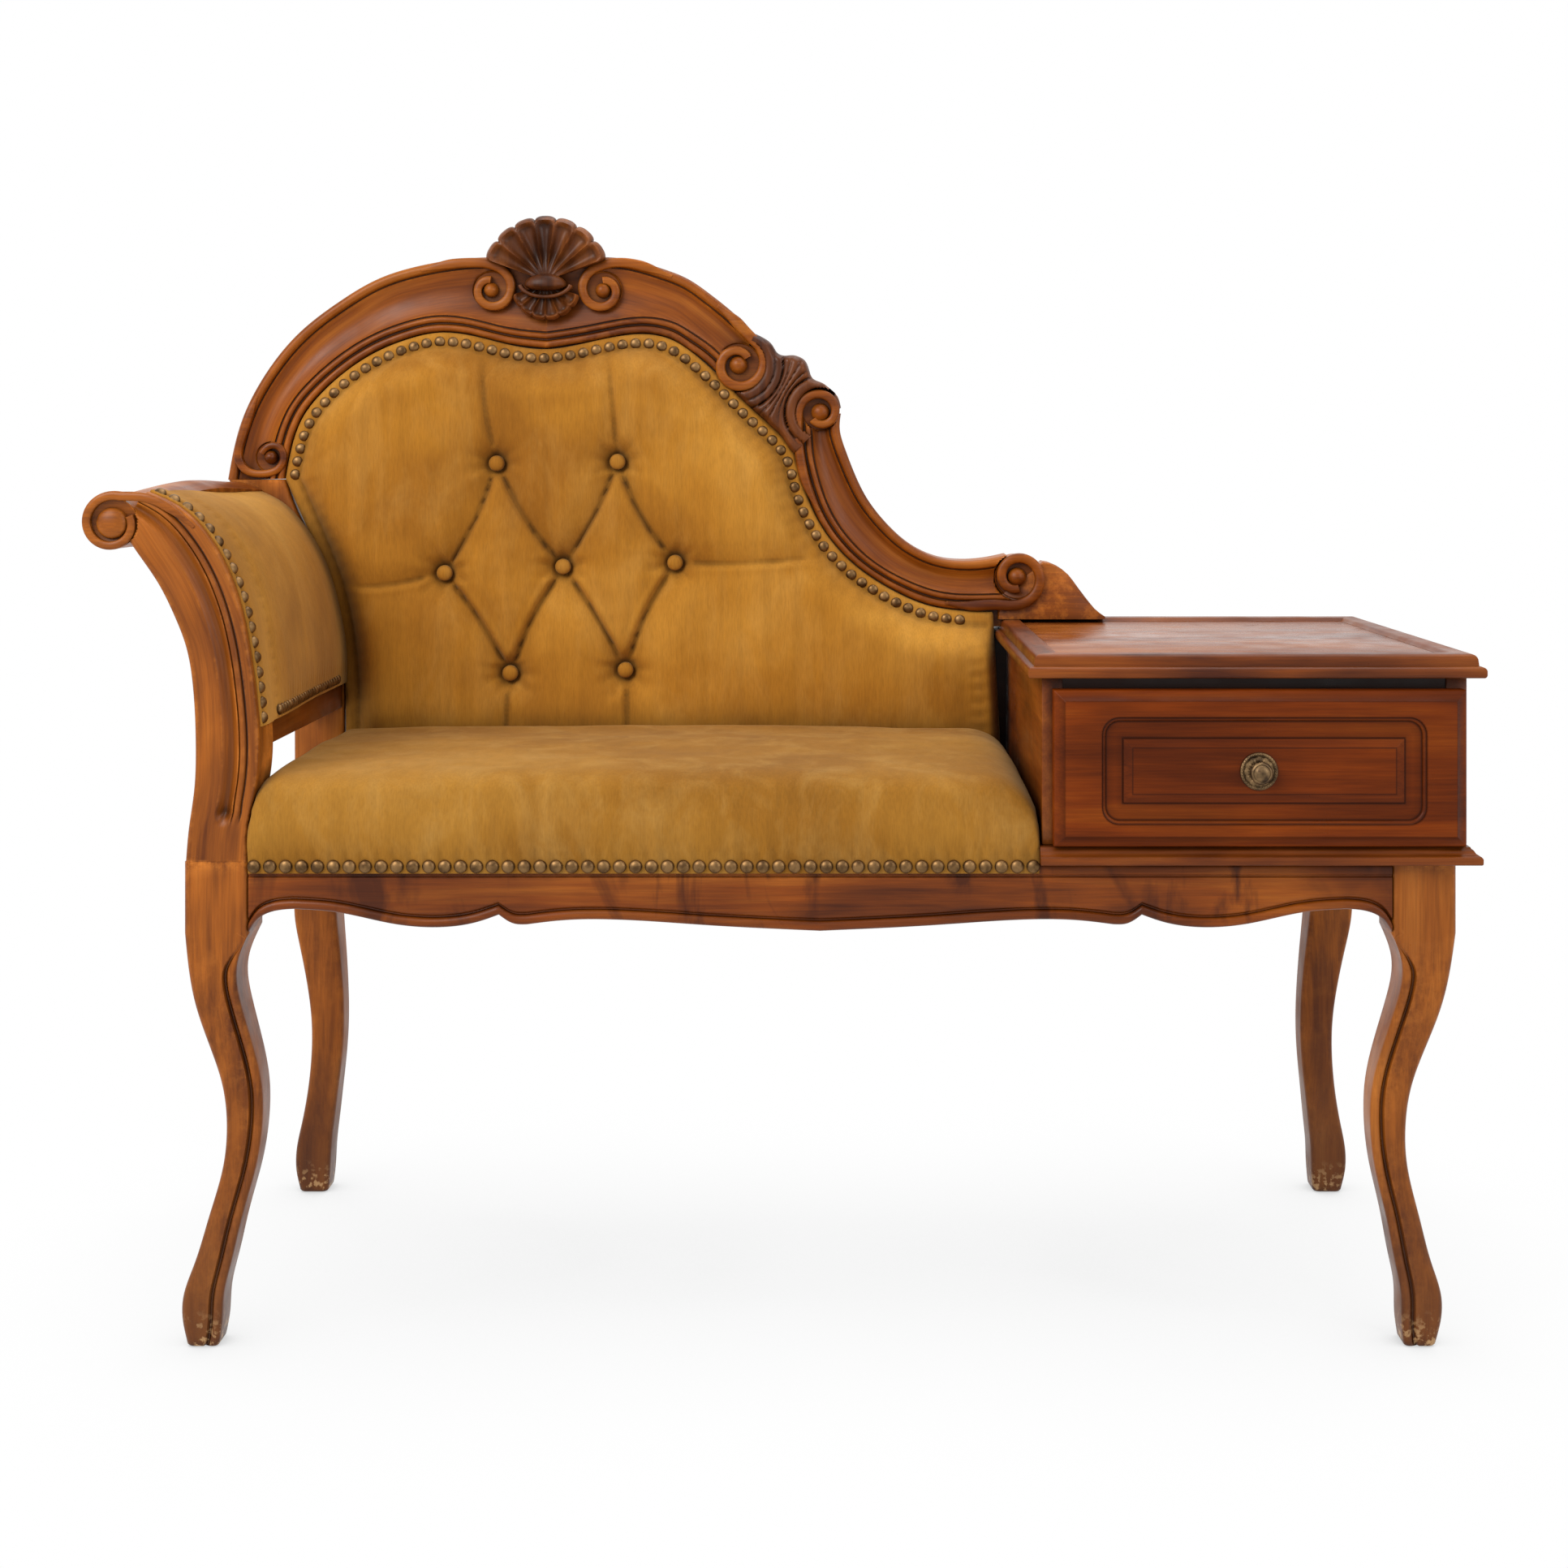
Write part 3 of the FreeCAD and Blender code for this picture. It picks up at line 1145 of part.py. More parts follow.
def table_top():
    """The top: a sunk panel inside four mitred mouldings. Returns the pieces by name."""
    x0 = CASE_LEFT - TOP_LEFT_OVER
    x1 = CASE_RIGHT + TOP_RIGHT_OVER
    y0 = LEG_FRONT - TOP_FRONT_OVER
    y1 = LEG_REAR
    w = LIP_WIDTH
    whole = moulded_board(x0, x1, y0, y1, CASE_TOP, TOP_STEPS, (1, 1, 1, 0.3))
    low_well = rectangle(x0 + w, x1 - w, y0 + w, y1 - w, TABLE_TOP - LIP_HIGH)
    s = w - LIP_SLOPE
    high_well = rectangle(x0 + s, x1 - s, y0 + s, y1 - s, TABLE_TOP + 0.01)
    well = box(x0 + w, x1 - w, y0 + w, y1 - w, CASE_TOP - 1, TABLE_TOP + 1)
    frame = whole.cut([well, faceted([low_well, high_well])])
    inner = [(x0 + w, y0 + w), (x1 - w, y0 + w), (x1 - w, y1 - w), (x0 + w, y1 - w)]
    out = w + 1
    corner = [(inner[k][0] + a * out, inner[k][1] + b * out) for k, (a, b) in enumerate(MITRE_WAYS)]
    pieces = {"table_top_panel": box(x0 + w, x1 - w, y0 + w, y1 - w, CASE_TOP, TABLE_TOP - LIP_HIGH)}
    for k, name in enumerate(("front", "right", "back", "left")):
        n = (k + 1) % 4
        plan = [V(*p, CASE_TOP - 1) for p in (corner[k], corner[n], inner[n], inner[k])]
        wedge = Part.Face(closed(plan)).extrude(V(0, 0, TOP_THICK + 2))
        pieces["top_moulding_" + name] = frame.common(wedge)
    return pieces


def case_side(left):
    x0 = CASE_LEFT if left else CASE_RIGHT - CASE_THICK
    return box(x0, x0 + CASE_THICK, CASE_FRONT, CASE_REAR, CASE_FLOOR, CASE_TOP)


INSIDE_LEFT = CASE_LEFT + CASE_THICK
INSIDE_RIGHT = CASE_RIGHT - CASE_THICK


def case_back():
    return box(INSIDE_LEFT, INSIDE_RIGHT, CASE_REAR - CASE_BACK_THICK, CASE_REAR, CASE_FLOOR, CASE_TOP)


def case_top_rail():
    """The thin rail over the drawer, set back under the top."""
    y0 = CASE_FRONT + TOP_RAIL_SETBACK
    return box(INSIDE_LEFT, INSIDE_RIGHT, y0, y0 + TOP_RAIL_DEEP, CASE_TOP - TOP_RAIL_HIGH, CASE_TOP)


def drawer_runner(left):
    x0 = INSIDE_LEFT if left else INSIDE_RIGHT - RUNNER_WIDE
    y1 = CASE_REAR - CASE_BACK_THICK
    return box(x0, x0 + RUNNER_WIDE, CASE_FRONT, y1, CASE_FLOOR, CASE_FLOOR + RUNNER_HIGH)


DRAWER_LOW = CASE_FLOOR + RUNNER_HIGH + SEAT_GAP
DRAWER_HIGH = DRAWER_LOW + DRAWER_SIDE_HIGH


def drawer_kickers():
    """Two strips over the drawer sides, which keep the open drawer level."""
    y0 = CASE_FRONT + TOP_RAIL_SETBACK + TOP_RAIL_DEEP
    y1 = CASE_REAR - CASE_BACK_THICK
    starts = (INSIDE_LEFT, INSIDE_RIGHT - RUNNER_WIDE)
    return [box(x0, x0 + RUNNER_WIDE, y0, y1, DRAWER_HIGH + KICKER_CLEAR, CASE_TOP) for x0 in starts]


# Drawer
DRAWER_LEFT = INSIDE_LEFT + DRAWER_SIDE_CLEAR
DRAWER_RIGHT = INSIDE_RIGHT - DRAWER_SIDE_CLEAR
DRAWER_FRONT_REAR = CASE_FRONT - SEAT_GAP
DRAWER_REAR = DRAWER_FRONT_REAR + DRAWER_LONG
FACE_Y = DRAWER_FRONT_REAR - FRONT_THICK
BOTTOM_Z = DRAWER_LOW + DRAWER_BOTTOM_UP
KNOB_X = (CASE_LEFT + CASE_RIGHT) / 2
KNOB_Z = CASE_FLOOR + FRONT_BOTTOM_UP + FRONT_HIGH / 2 - 1.5
KNOB_PLACE = (KNOB_X, KNOB_Z)


def rounded_rectangle(x0, x1, z0, z1, r, y):
    corners = ((x1 - r, z0 + r, -90), (x1 - r, z1 - r, 0), (x0 + r, z1 - r, 90), (x0 + r, z0 + r, 180))
    points = []
    for x, z, start in corners:
        angles = [math.radians(start + turn) for turn in (0, 30, 60, 90)]
        points += [V(x + r * math.cos(a), y, z + r * math.sin(a)) for a in angles]
    return points


def drawer_front():
    """The overlaid drawer front: bevelled edges, a sunk field with round corners and a raised panel in it."""
    x0 = CASE_LEFT + FRONT_SIDE_REVEAL
    x1 = CASE_RIGHT - FRONT_SIDE_REVEAL / 2
    z0 = CASE_FLOOR + FRONT_BOTTOM_UP
    z1 = z0 + FRONT_HIGH
    b = FRONT_BEVEL
    shape = faceted([
        upright_rectangle(x0, x1, z0, z1, DRAWER_FRONT_REAR),
        upright_rectangle(x0, x1, z0, z1, FACE_Y + FRONT_BEVEL_DEEP),
        upright_rectangle(x0 + b, x1 - b, z0 + b, z1 - b, FACE_Y),
    ])
    fx0 = x0 + FIELD_LEFT
    fx1 = x1 - FIELD_RIGHT
    fz0 = z0 + FIELD_UP
    fz1 = z1 - FIELD_DOWN
    floor = FACE_Y + FIELD_DEEP
    d = FIELD_SLOPE
    shape = shape.cut(faceted([
        rounded_rectangle(fx0 + d, fx1 - d, fz0 + d, fz1 - d, FIELD_CORNER, floor),
        rounded_rectangle(fx0, fx1, fz0, fz1, FIELD_CORNER + d, FACE_Y - 0.01),
    ]))
    p = PANEL_INSET
    q = PANEL_INSET + PANEL_BEVEL
    shape = shape.fuse(faceted([
        upright_rectangle(fx0 + p, fx1 - p, fz0 + p, fz1 - p, floor + 1),
        upright_rectangle(fx0 + p, fx1 - p, fz0 + p, fz1 - p, floor),
        upright_rectangle(fx0 + q, fx1 - q, fz0 + q, fz1 - q, FACE_Y + SEAT_GAP),
    ])).removeSplitter()
    return shape.cut(disc(KNOB_PLACE, SCREW_RADIUS + 0.1, FACE_Y - 5, DRAWER_FRONT_REAR + 5, 6))


def drawer_side(left):
    """A drawer side with the groove for the bottom."""
    x0 = DRAWER_LEFT if left else DRAWER_RIGHT - DRAWER_SIDE_THICK
    side = box(x0, x0 + DRAWER_SIDE_THICK, DRAWER_FRONT_REAR, DRAWER_REAR, DRAWER_LOW, DRAWER_HIGH)
    g0 = x0 + DRAWER_SIDE_THICK - DRAWER_GROOVE_DEEP if left else x0
    z0 = BOTTOM_Z - BOTTOM_CLEAR
    z1 = BOTTOM_Z + DRAWER_BOTTOM_THICK + BOTTOM_CLEAR
    return side.cut(box(g0, g0 + DRAWER_GROOVE_DEEP, DRAWER_FRONT_REAR, DRAWER_REAR, z0, z1))


def drawer_back():
    t = DRAWER_SIDE_THICK
    low = BOTTOM_Z + DRAWER_BOTTOM_THICK
    return box(DRAWER_LEFT + t, DRAWER_RIGHT - t, DRAWER_REAR - t, DRAWER_REAR, low, DRAWER_HIGH - DRAWER_BACK_DROP)


def drawer_bottom():
    reach = DRAWER_SIDE_THICK - DRAWER_GROOVE_DEEP + 2 * BOTTOM_CLEAR
    return box(DRAWER_LEFT + reach, DRAWER_RIGHT - reach, DRAWER_FRONT_REAR, DRAWER_REAR, BOTTOM_Z,
               BOTTOM_Z + DRAWER_BOTTOM_THICK)


def turned(profile, hole, deep):
    """A turned piece from (radius, reach) steps in front of the raised panel, with a hole from behind."""
    face = FACE_Y + SEAT_GAP
    shape = stack(KNOB_PLACE, [(radius, face - reach) for radius, reach in profile], 20)
    return shape.cut(disc(KNOB_PLACE, hole, face - deep, face + 1, 6))


def knob_backplate():
    r = KNOB_RADIUS
    steps = [(r, 0), (r - 1.0, 1.6), (r - 3.4, KNOB_PLATE), (r - 5.0, 1.2), (r - 7.5, KNOB_PLATE)]
    return turned(steps, SCREW_RADIUS + 0.1, KNOB_PLATE + 1)


def drawer_knob():
    start = KNOB_PLATE + 0.05
    steps = [(5.2, start), (4.6, 6.5), (8.4, 9.5), (8.8, 12.0), (5.0, KNOB_REACH - SEAT_GAP)]
    return turned(steps, SCREW_RADIUS + 0.1, 9.0)


def knob_screw():
    rear = DRAWER_FRONT_REAR
    shank = disc(KNOB_PLACE, SCREW_RADIUS, FACE_Y + SEAT_GAP - 8.5, rear + 0.1, 6)
    return shank.fuse(disc(KNOB_PLACE, 4.0, rear, rear + 2.2, 6)).removeSplitter()


# Back construction that the upholstery hides
RIGHT_STILE_WIDE = 51.2
RIGHT_STILE_TOP = 157.5
BACK_RAIL_HIGH = 45.0


def back_bottom_rail():
    """The rail behind the foot of the back pad, between the two back posts."""
    x0 = back_point((STILE_STATIONS[0][2], 0))[0] + SEAT_GAP
    x1 = CASE_LEFT - RIGHT_STILE_WIDE
    return box(x0, x1, BOARD_Y + BACK_BOARD + SEAT_GAP, BACK_REAR, RAIL_TOP, RAIL_TOP + BACK_RAIL_HIGH)


def back_right_stile():
    """The hidden post beside the table that carries the lower end of the swept rail."""
    x0 = CASE_LEFT - RIGHT_STILE_WIDE
    y0 = BOARD_Y + BACK_BOARD + SEAT_GAP
    high = back_point((DRAWN_SPAN, RIGHT_STILE_TOP))[1]
    post = box(x0, CASE_LEFT - SEAT_GAP, y0, BACK_REAR, RAIL_TOP + BASE_THICK + SEAT_GAP, CASE_TOP - SEAT_GAP)
    foot = box(x0, CASE_LEFT - BASE_LEFT_OVER - SEAT_GAP, y0, BACK_REAR, RAIL_TOP, CASE_TOP - SEAT_GAP)
    head = box(x0, CASE_LEFT - TOP_LEFT_OVER - SEAT_GAP, y0, BACK_REAR, CASE_FLOOR, high)
    return post.fuse([foot, head]).removeSplitter()


def build():
    """Every piece by its node name. A value is one solid or a list of separate solids."""
    pieces = {name: leg(*place) for name, place in LEGS.items()}
    pieces["rear_left_leg"] = pieces["rear_left_leg"].fuse(stile()).removeSplitter()
    pieces["arm_post"] = arm_post()

    blocks, screws = [], []
    for face_x, side, face_y, into, beaded in LEGS.values():
        block, pair = corner_block(face_x, side, face_y, into)
        blocks.append(block)
        screws += pair
    pieces["front_seat_rail"] = drill_for(screws, front_seat_rail())
    pieces["rear_seat_rail"] = drill_for(screws, rear_seat_rail())
    left_rail = side_seat_rail(LEG_LEFT, 1, ("front_left_leg", "rear_left_leg"))
    right_rail = side_seat_rail(LEG_RIGHT, -1, ("front_right_leg", "rear_right_leg"))
    pieces["left_seat_rail"] = drill_for(screws, left_rail)
    pieces["right_seat_rail"] = drill_for(screws, right_rail)
    pieces["middle_seat_rail"] = middle_seat_rail()
    pieces["corner_blocks"] = blocks
    pieces["corner_block_screws"] = [screw for start, way, screw in screws]

    pieces["seat_board"] = seat_board()
    pieces["seat_pad"] = seat_pad()
    pieces["seat_nails"] = seat_nails()

    pieces["crest_rail_left"] = crest_rail_left()
    pieces["crest_rail_right"] = crest_rail_right()
    pieces["swept_rail"] = swept_rail()
    pieces["crest_shell"] = crest_shell()
    pieces["leaf_clasp"] = leaf_clasp()
    pieces["tail_bracket"] = tail_bracket()
    pieces["back_bottom_rail"] = back_bottom_rail()
    pieces["back_right_stile"] = back_right_stile()
    pieces["back_board"] = back_panel(BOARD_Y, BOARD_Y + BACK_BOARD, REBATE_WIDE + 3)
    pieces["back_pad"] = back_pad()
    pieces["back_buttons"] = back_buttons()
    pieces["back_nails"] = back_nails()

    pieces["arm_top_rail"] = arm_top_rail()
    pieces["arm_bottom_rail"] = arm_bottom_rail()
    pieces["arm_pad"] = arm_pad()
    pieces["arm_outside_cover"] = arm_outside_cover()
    pieces["arm_front_nails"] = arm_front_nails()
    pieces["arm_bottom_nails"] = arm_bottom_nails()

    pieces["case_base"] = case_base()
    pieces["case_side_left"] = case_side(True)
    pieces["case_side_right"] = case_side(False)
    pieces["case_back"] = case_back()
    pieces["case_top_rail"] = case_top_rail()
    pieces["drawer_runner_left"] = drawer_runner(True)
    pieces["drawer_runner_right"] = drawer_runner(False)
    pieces["drawer_kickers"] = drawer_kickers()
    pieces.update(table_top())

    pieces["drawer_front"] = drawer_front()
    pieces["drawer_side_left"] = drawer_side(True)
    pieces["drawer_side_right"] = drawer_side(False)
    pieces["drawer_back"] = drawer_back()
    pieces["drawer_bottom"] = drawer_bottom()
    pieces["knob_backplate"] = knob_backplate()
    pieces["drawer_knob"] = drawer_knob()
    pieces["knob_screw"] = knob_screw()
    return pieces


def main():
    os.makedirs("parts", exist_ok=True)
    for name, piece in build().items():
        solids = piece if isinstance(piece, list) else piece.Solids
        shape = solids[0] if len(solids) == 1 else Part.makeCompound(solids)
        shape.exportStep("parts/" + name + ".step")
        state = "valid" if shape.isValid() else "INVALID"
        print(name, len(solids), "solids", round(shape.Volume / 1000, 1), "cm3", state)


main()
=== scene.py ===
"""Looks of the telephone bench: carved wood, velvet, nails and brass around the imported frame.

Metres, in the frame's own axes. Shapes are worked out in millimetres and divided by 1000 as meshes.
"""
import math
import random

import bpy
import numpy as np
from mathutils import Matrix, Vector, noise
from mathutils.geometry import delaunay_2d_cdt


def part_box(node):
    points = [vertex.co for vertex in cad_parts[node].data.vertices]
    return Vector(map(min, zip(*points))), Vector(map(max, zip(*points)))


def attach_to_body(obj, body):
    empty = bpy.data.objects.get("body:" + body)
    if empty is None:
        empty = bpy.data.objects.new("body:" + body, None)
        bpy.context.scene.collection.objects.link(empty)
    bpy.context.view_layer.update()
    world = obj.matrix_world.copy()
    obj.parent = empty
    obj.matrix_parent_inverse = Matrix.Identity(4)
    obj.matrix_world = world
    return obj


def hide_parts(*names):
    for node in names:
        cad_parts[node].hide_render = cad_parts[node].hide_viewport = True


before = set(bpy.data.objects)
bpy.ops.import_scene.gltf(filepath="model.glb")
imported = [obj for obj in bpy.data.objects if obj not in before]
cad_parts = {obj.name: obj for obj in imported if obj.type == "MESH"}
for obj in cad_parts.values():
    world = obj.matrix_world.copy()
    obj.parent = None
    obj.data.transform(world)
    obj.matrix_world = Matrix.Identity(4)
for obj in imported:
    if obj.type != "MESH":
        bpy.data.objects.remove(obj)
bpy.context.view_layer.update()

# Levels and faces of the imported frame, in millimetres
RAIL_TOP = 375.0
LEG_LEFT = -460.0
LEG_RIGHT = 521.0
LEG_FRONT = -175.0
LEG_REAR = 208.0
BACK_FRONT = 160.0
BACK_REAR = 200.0
PAD_EDGE = 161.0
PAD_LIFT = 31.0


def millimetres(node):
    """Lowest and highest corner of a CAD node."""
    low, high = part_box(node)
    return np.array(low) * 1000, np.array(high) * 1000


def at(point):
    """A drawn (x, z) point of the back or the arm, measured from the left leg and the rails."""
    return np.array([LEG_LEFT + point[0], RAIL_TOP + point[1]], float)


def ring_at(points, y):
    """A ring of drawn places at one depth."""
    return [[LEG_LEFT + x, y, RAIL_TOP + z] for x, z in points]


def run_along(path):
    """The distance along a path at each of its places."""
    return np.r_[0, np.cumsum(np.linalg.norm(np.diff(path, axis=0), axis=1))]


def directions(path):
    """The direction of a path at each of its places."""
    way = np.gradient(path, axis=0)
    return way / np.linalg.norm(way, axis=1)[:, None]


def smooth_path(points, count):
    """Evenly spaced places on a smooth curve through some points of any dimension."""
    points = np.array(points, float)
    steps = run_along(points)
    return spline(steps, points, np.linspace(0, steps[-1], count))


def spline(knots, values, places):
    """Natural cubic spline through values at knots."""
    knots = np.array(knots, float)
    values = np.array(values, float)
    flat = values.ndim == 1
    if flat:
        values = values[:, None]
    n = len(knots)
    h = np.diff(knots)
    a = np.eye(n)
    b = np.zeros_like(values)
    for i in range(1, n - 1):
        a[i, i - 1] = h[i - 1]
        a[i, i] = 2 * (h[i - 1] + h[i])
        a[i, i + 1] = h[i]
        b[i] = 6 * ((values[i + 1] - values[i]) / h[i] - (values[i] - values[i - 1]) / h[i - 1])
    m = np.linalg.solve(a, b)
    places = np.array(places, float)
    k = np.clip(np.searchsorted(knots, places, side="right") - 1, 0, n - 2)
    left = (places - knots[k])[:, None]
    right = (knots[k + 1] - places)[:, None]
    hk = h[k][:, None]
    out = (m[k] * right ** 3 + m[k + 1] * left ** 3) / (6 * hk)
    out += (values[k] / hk - m[k] * hk / 6) * right + (values[k + 1] / hk - m[k + 1] * hk / 6) * left
    return out[:, 0] if flat else out


def ease(t):
    """A smooth step from 0 to 1."""
    t = np.clip(t, 0, 1)
    return t * t * (3 - 2 * t)


def bump(distance, width):
    """A round ridge: 1 at no distance, 0 at width."""
    return np.sqrt(np.clip(1 - (np.asarray(distance) / width) ** 2, 0, 1))


def wander(x, z, scale, seed):
    """Slow irregular variation between about -1 and 1 over arrays of places."""
    places = zip(np.ravel(x), np.ravel(z))
    flat = np.array([noise.fractal(Vector((a / scale, b / scale, seed)), 1.0, 2.0, 2) for a, b in places])
    return flat.reshape(np.shape(x))


# Making mesh objects

# Edges of more degrees than this stay sharp
SHARP = 38


def new_object(name, mesh, material):
    """A linked object with one material, which is then the only one selected."""
    obj = bpy.data.objects.new(name, mesh)
    bpy.context.scene.collection.objects.link(obj)
    mesh.materials.clear()
    mesh.materials.append(material)
    bpy.context.view_layer.objects.active = obj
    for other in bpy.context.selected_objects:
        other.select_set(False)
    obj.select_set(True)
    return obj


def in_edit_mode(*steps):
    """Runs mesh operators, each with its settings, on all of the selected object."""
    bpy.ops.object.mode_set(mode="EDIT")
    bpy.ops.mesh.select_all(action="SELECT")
    for operator, settings in steps:
        operator(**settings)
    bpy.ops.object.mode_set(mode="OBJECT")


def set_grain(mesh, places):
    """The places in metres that the wood grain of a mesh follows, along X first."""
    layer = mesh.attributes.new("grain", "FLOAT_VECTOR", "POINT")
    layer.data.foreach_set("vector", np.array(places, np.float32).ravel())


def attach(obj, nodes, body="frame"):
    """Puts a piece on its body, in place of its CAD nodes."""
    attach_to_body(obj, body)
    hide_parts(*nodes)
    return obj


def piece(name, points, faces, material, nodes, body="frame", grain=None, angle=SHARP):
    """A mesh piece from points in millimetres, with sharp edges above an angle in degrees."""
    mesh = bpy.data.meshes.new(name)
    mesh.from_pydata((np.array(points, float) / 1000).tolist(), [], [list(map(int, f)) for f in faces])
    mesh.validate()
    if grain is not None:
        set_grain(mesh, np.array(grain, float) / 1000)
    obj = new_object(name, mesh, material)
    in_edit_mode((bpy.ops.mesh.remove_doubles, {"threshold": 1e-6}),
                 (bpy.ops.mesh.normals_make_consistent, {"inside": False}))
    bpy.ops.object.shade_smooth_by_angle(angle=math.radians(angle))
    return attach(obj, nodes, body)


def loft(rings):
    """Points and faces of a closed tube through rings with equal counts."""
    rings = np.array(rings, float)
    rows, cols = rings.shape[:2]
    faces = []
    for i in range(rows - 1):
        for j in range(cols):
            k = (j + 1) % cols
            faces.append((i * cols + j, i * cols + k, (i + 1) * cols + k, (i + 1) * cols + j))
    faces += [tuple(range(cols))[::-1], tuple((rows - 1) * cols + k for k in range(cols))]
    return rings.reshape(-1, 3), faces


def circle(count):
    """Angles of a full turn in even steps."""
    return np.linspace(0, 2 * math.pi, count, endpoint=False)


def arc(x, z, radius, start, end, count, squash=1.0):
    """Places on an arc from one angle to another, in degrees."""
    return [(x + radius * math.cos(math.radians(a)), z + radius * squash * math.sin(math.radians(a)))
            for a in np.linspace(start, end, count)]


def merge(parts):
    """Several (points, faces) as one."""
    points, faces, base = [], [], 0
    for p, f in parts:
        points.append(np.array(p, float))
        faces += [tuple(k + base for k in face) for face in f]
        base += len(p)
    return np.vstack(points), faces


# Materials


def shader(name):
    """A new material with its node tree and its main shader."""
    material = bpy.data.materials.new(name)
    material.use_nodes = True
    tree = material.node_tree
    return material, tree, tree.nodes["Principled BSDF"]


def node(tree, kind, inputs=None, **settings):
    """A new node. An input is a value, or a socket to link it to."""
    made = tree.nodes.new(kind)
    for key, value in settings.items():
        setattr(made, key, value)
    for key, value in (inputs or {}).items():
        if isinstance(value, bpy.types.NodeSocket):
            tree.links.new(value, made.inputs[key])
        else:
            made.inputs[key].default_value = value
    return made


def math_node(tree, operation, a, b):
    """The result of one sum of two values or sockets."""
    return node(tree, "ShaderNodeMath", {0: a, 1: b}, operation=operation).outputs[0]


def times(tree, a, b):
    """The product of two values or sockets."""
    return math_node(tree, "MULTIPLY", a, b)


def plus(tree, a, b):
    """The sum of two values or sockets."""
    return math_node(tree, "ADD", a, b)


def object_places(tree):
    """Places in metres in the object's own axes."""
    return node(tree, "ShaderNodeTexCoord").outputs["Object"]


def noise_of(tree, vector, scale, detail=4.0, rough=0.6, stretch=(1, 1, 1), distortion=0.0):
    """A noise over stretched places."""
    mapped = node(tree, "ShaderNodeMapping", {"Vector": vector, "Scale": stretch}).outputs[0]
    inputs = {"Vector": mapped, "Scale": scale, "Detail": detail, "Roughness": rough, "Distortion": distortion}
    return node(tree, "ShaderNodeTexNoise", inputs).outputs["Fac"]


def occlusion(tree, distance, samples):
    """1 where a surface is open, and less in corners of a given size in metres."""
    return node(tree, "ShaderNodeAmbientOcclusion", {"Distance": distance}, samples=samples).outputs["AO"]


def bumped(tree, bsdf, strength, height):
    """Gives a shader a fine bump, for texture alone."""
    bump_node = node(tree, "ShaderNodeBump", {"Strength": strength, "Distance": 0.0006, "Height": height})
    tree.links.new(bump_node.outputs[0], bsdf.inputs["Normal"])


def ramp(tree, fac, stops, smooth=False):
    """A colour ramp of (place, colour) stops. A colour of one value is a grey."""
    made = node(tree, "ShaderNodeValToRGB", {"Fac": fac})
    if smooth:
        made.color_ramp.interpolation = "EASE"
    elements = made.color_ramp.elements
    while len(elements) < len(stops):
        elements.new(0.5)
    for element, (place, colour) in zip(elements, stops):
        element.position = place
        element.color = (*colour, 1) if len(colour) == 3 else (colour[0],) * 3 + (1,)
    return made.outputs["Color"]


def grey(tree, fac, start, end, smooth=False):
    """A ramp between two greys, each a (place, value)."""
    return ramp(tree, fac, [(place, (value,)) for place, value in (start, end)], smooth)


def mix(tree, fac, a, b, blend="MIX"):
    """Two colours mixed or blended by a share."""
    made = node(tree, "ShaderNodeMix", data_type="RGBA", blend_type=blend)
    for key, value in ((0, fac), (6, a), (7, b)):
        if isinstance(value, bpy.types.NodeSocket):
            tree.links.new(value, made.inputs[key])
        elif key == 0:
            made.inputs[key].default_value = value
        else:
            made.inputs[key].default_value = (*value, 1)
    return made.outputs[2]


def srgb(r, g, b):
    """A colour of 0 to 255 as the linear values that a shader takes."""
    shares = [c / 255 for c in (r, g, b)]
    return tuple(c / 12.92 if c <= 0.04045 else ((c + 0.055) / 1.055) ** 2.4 for c in shares)


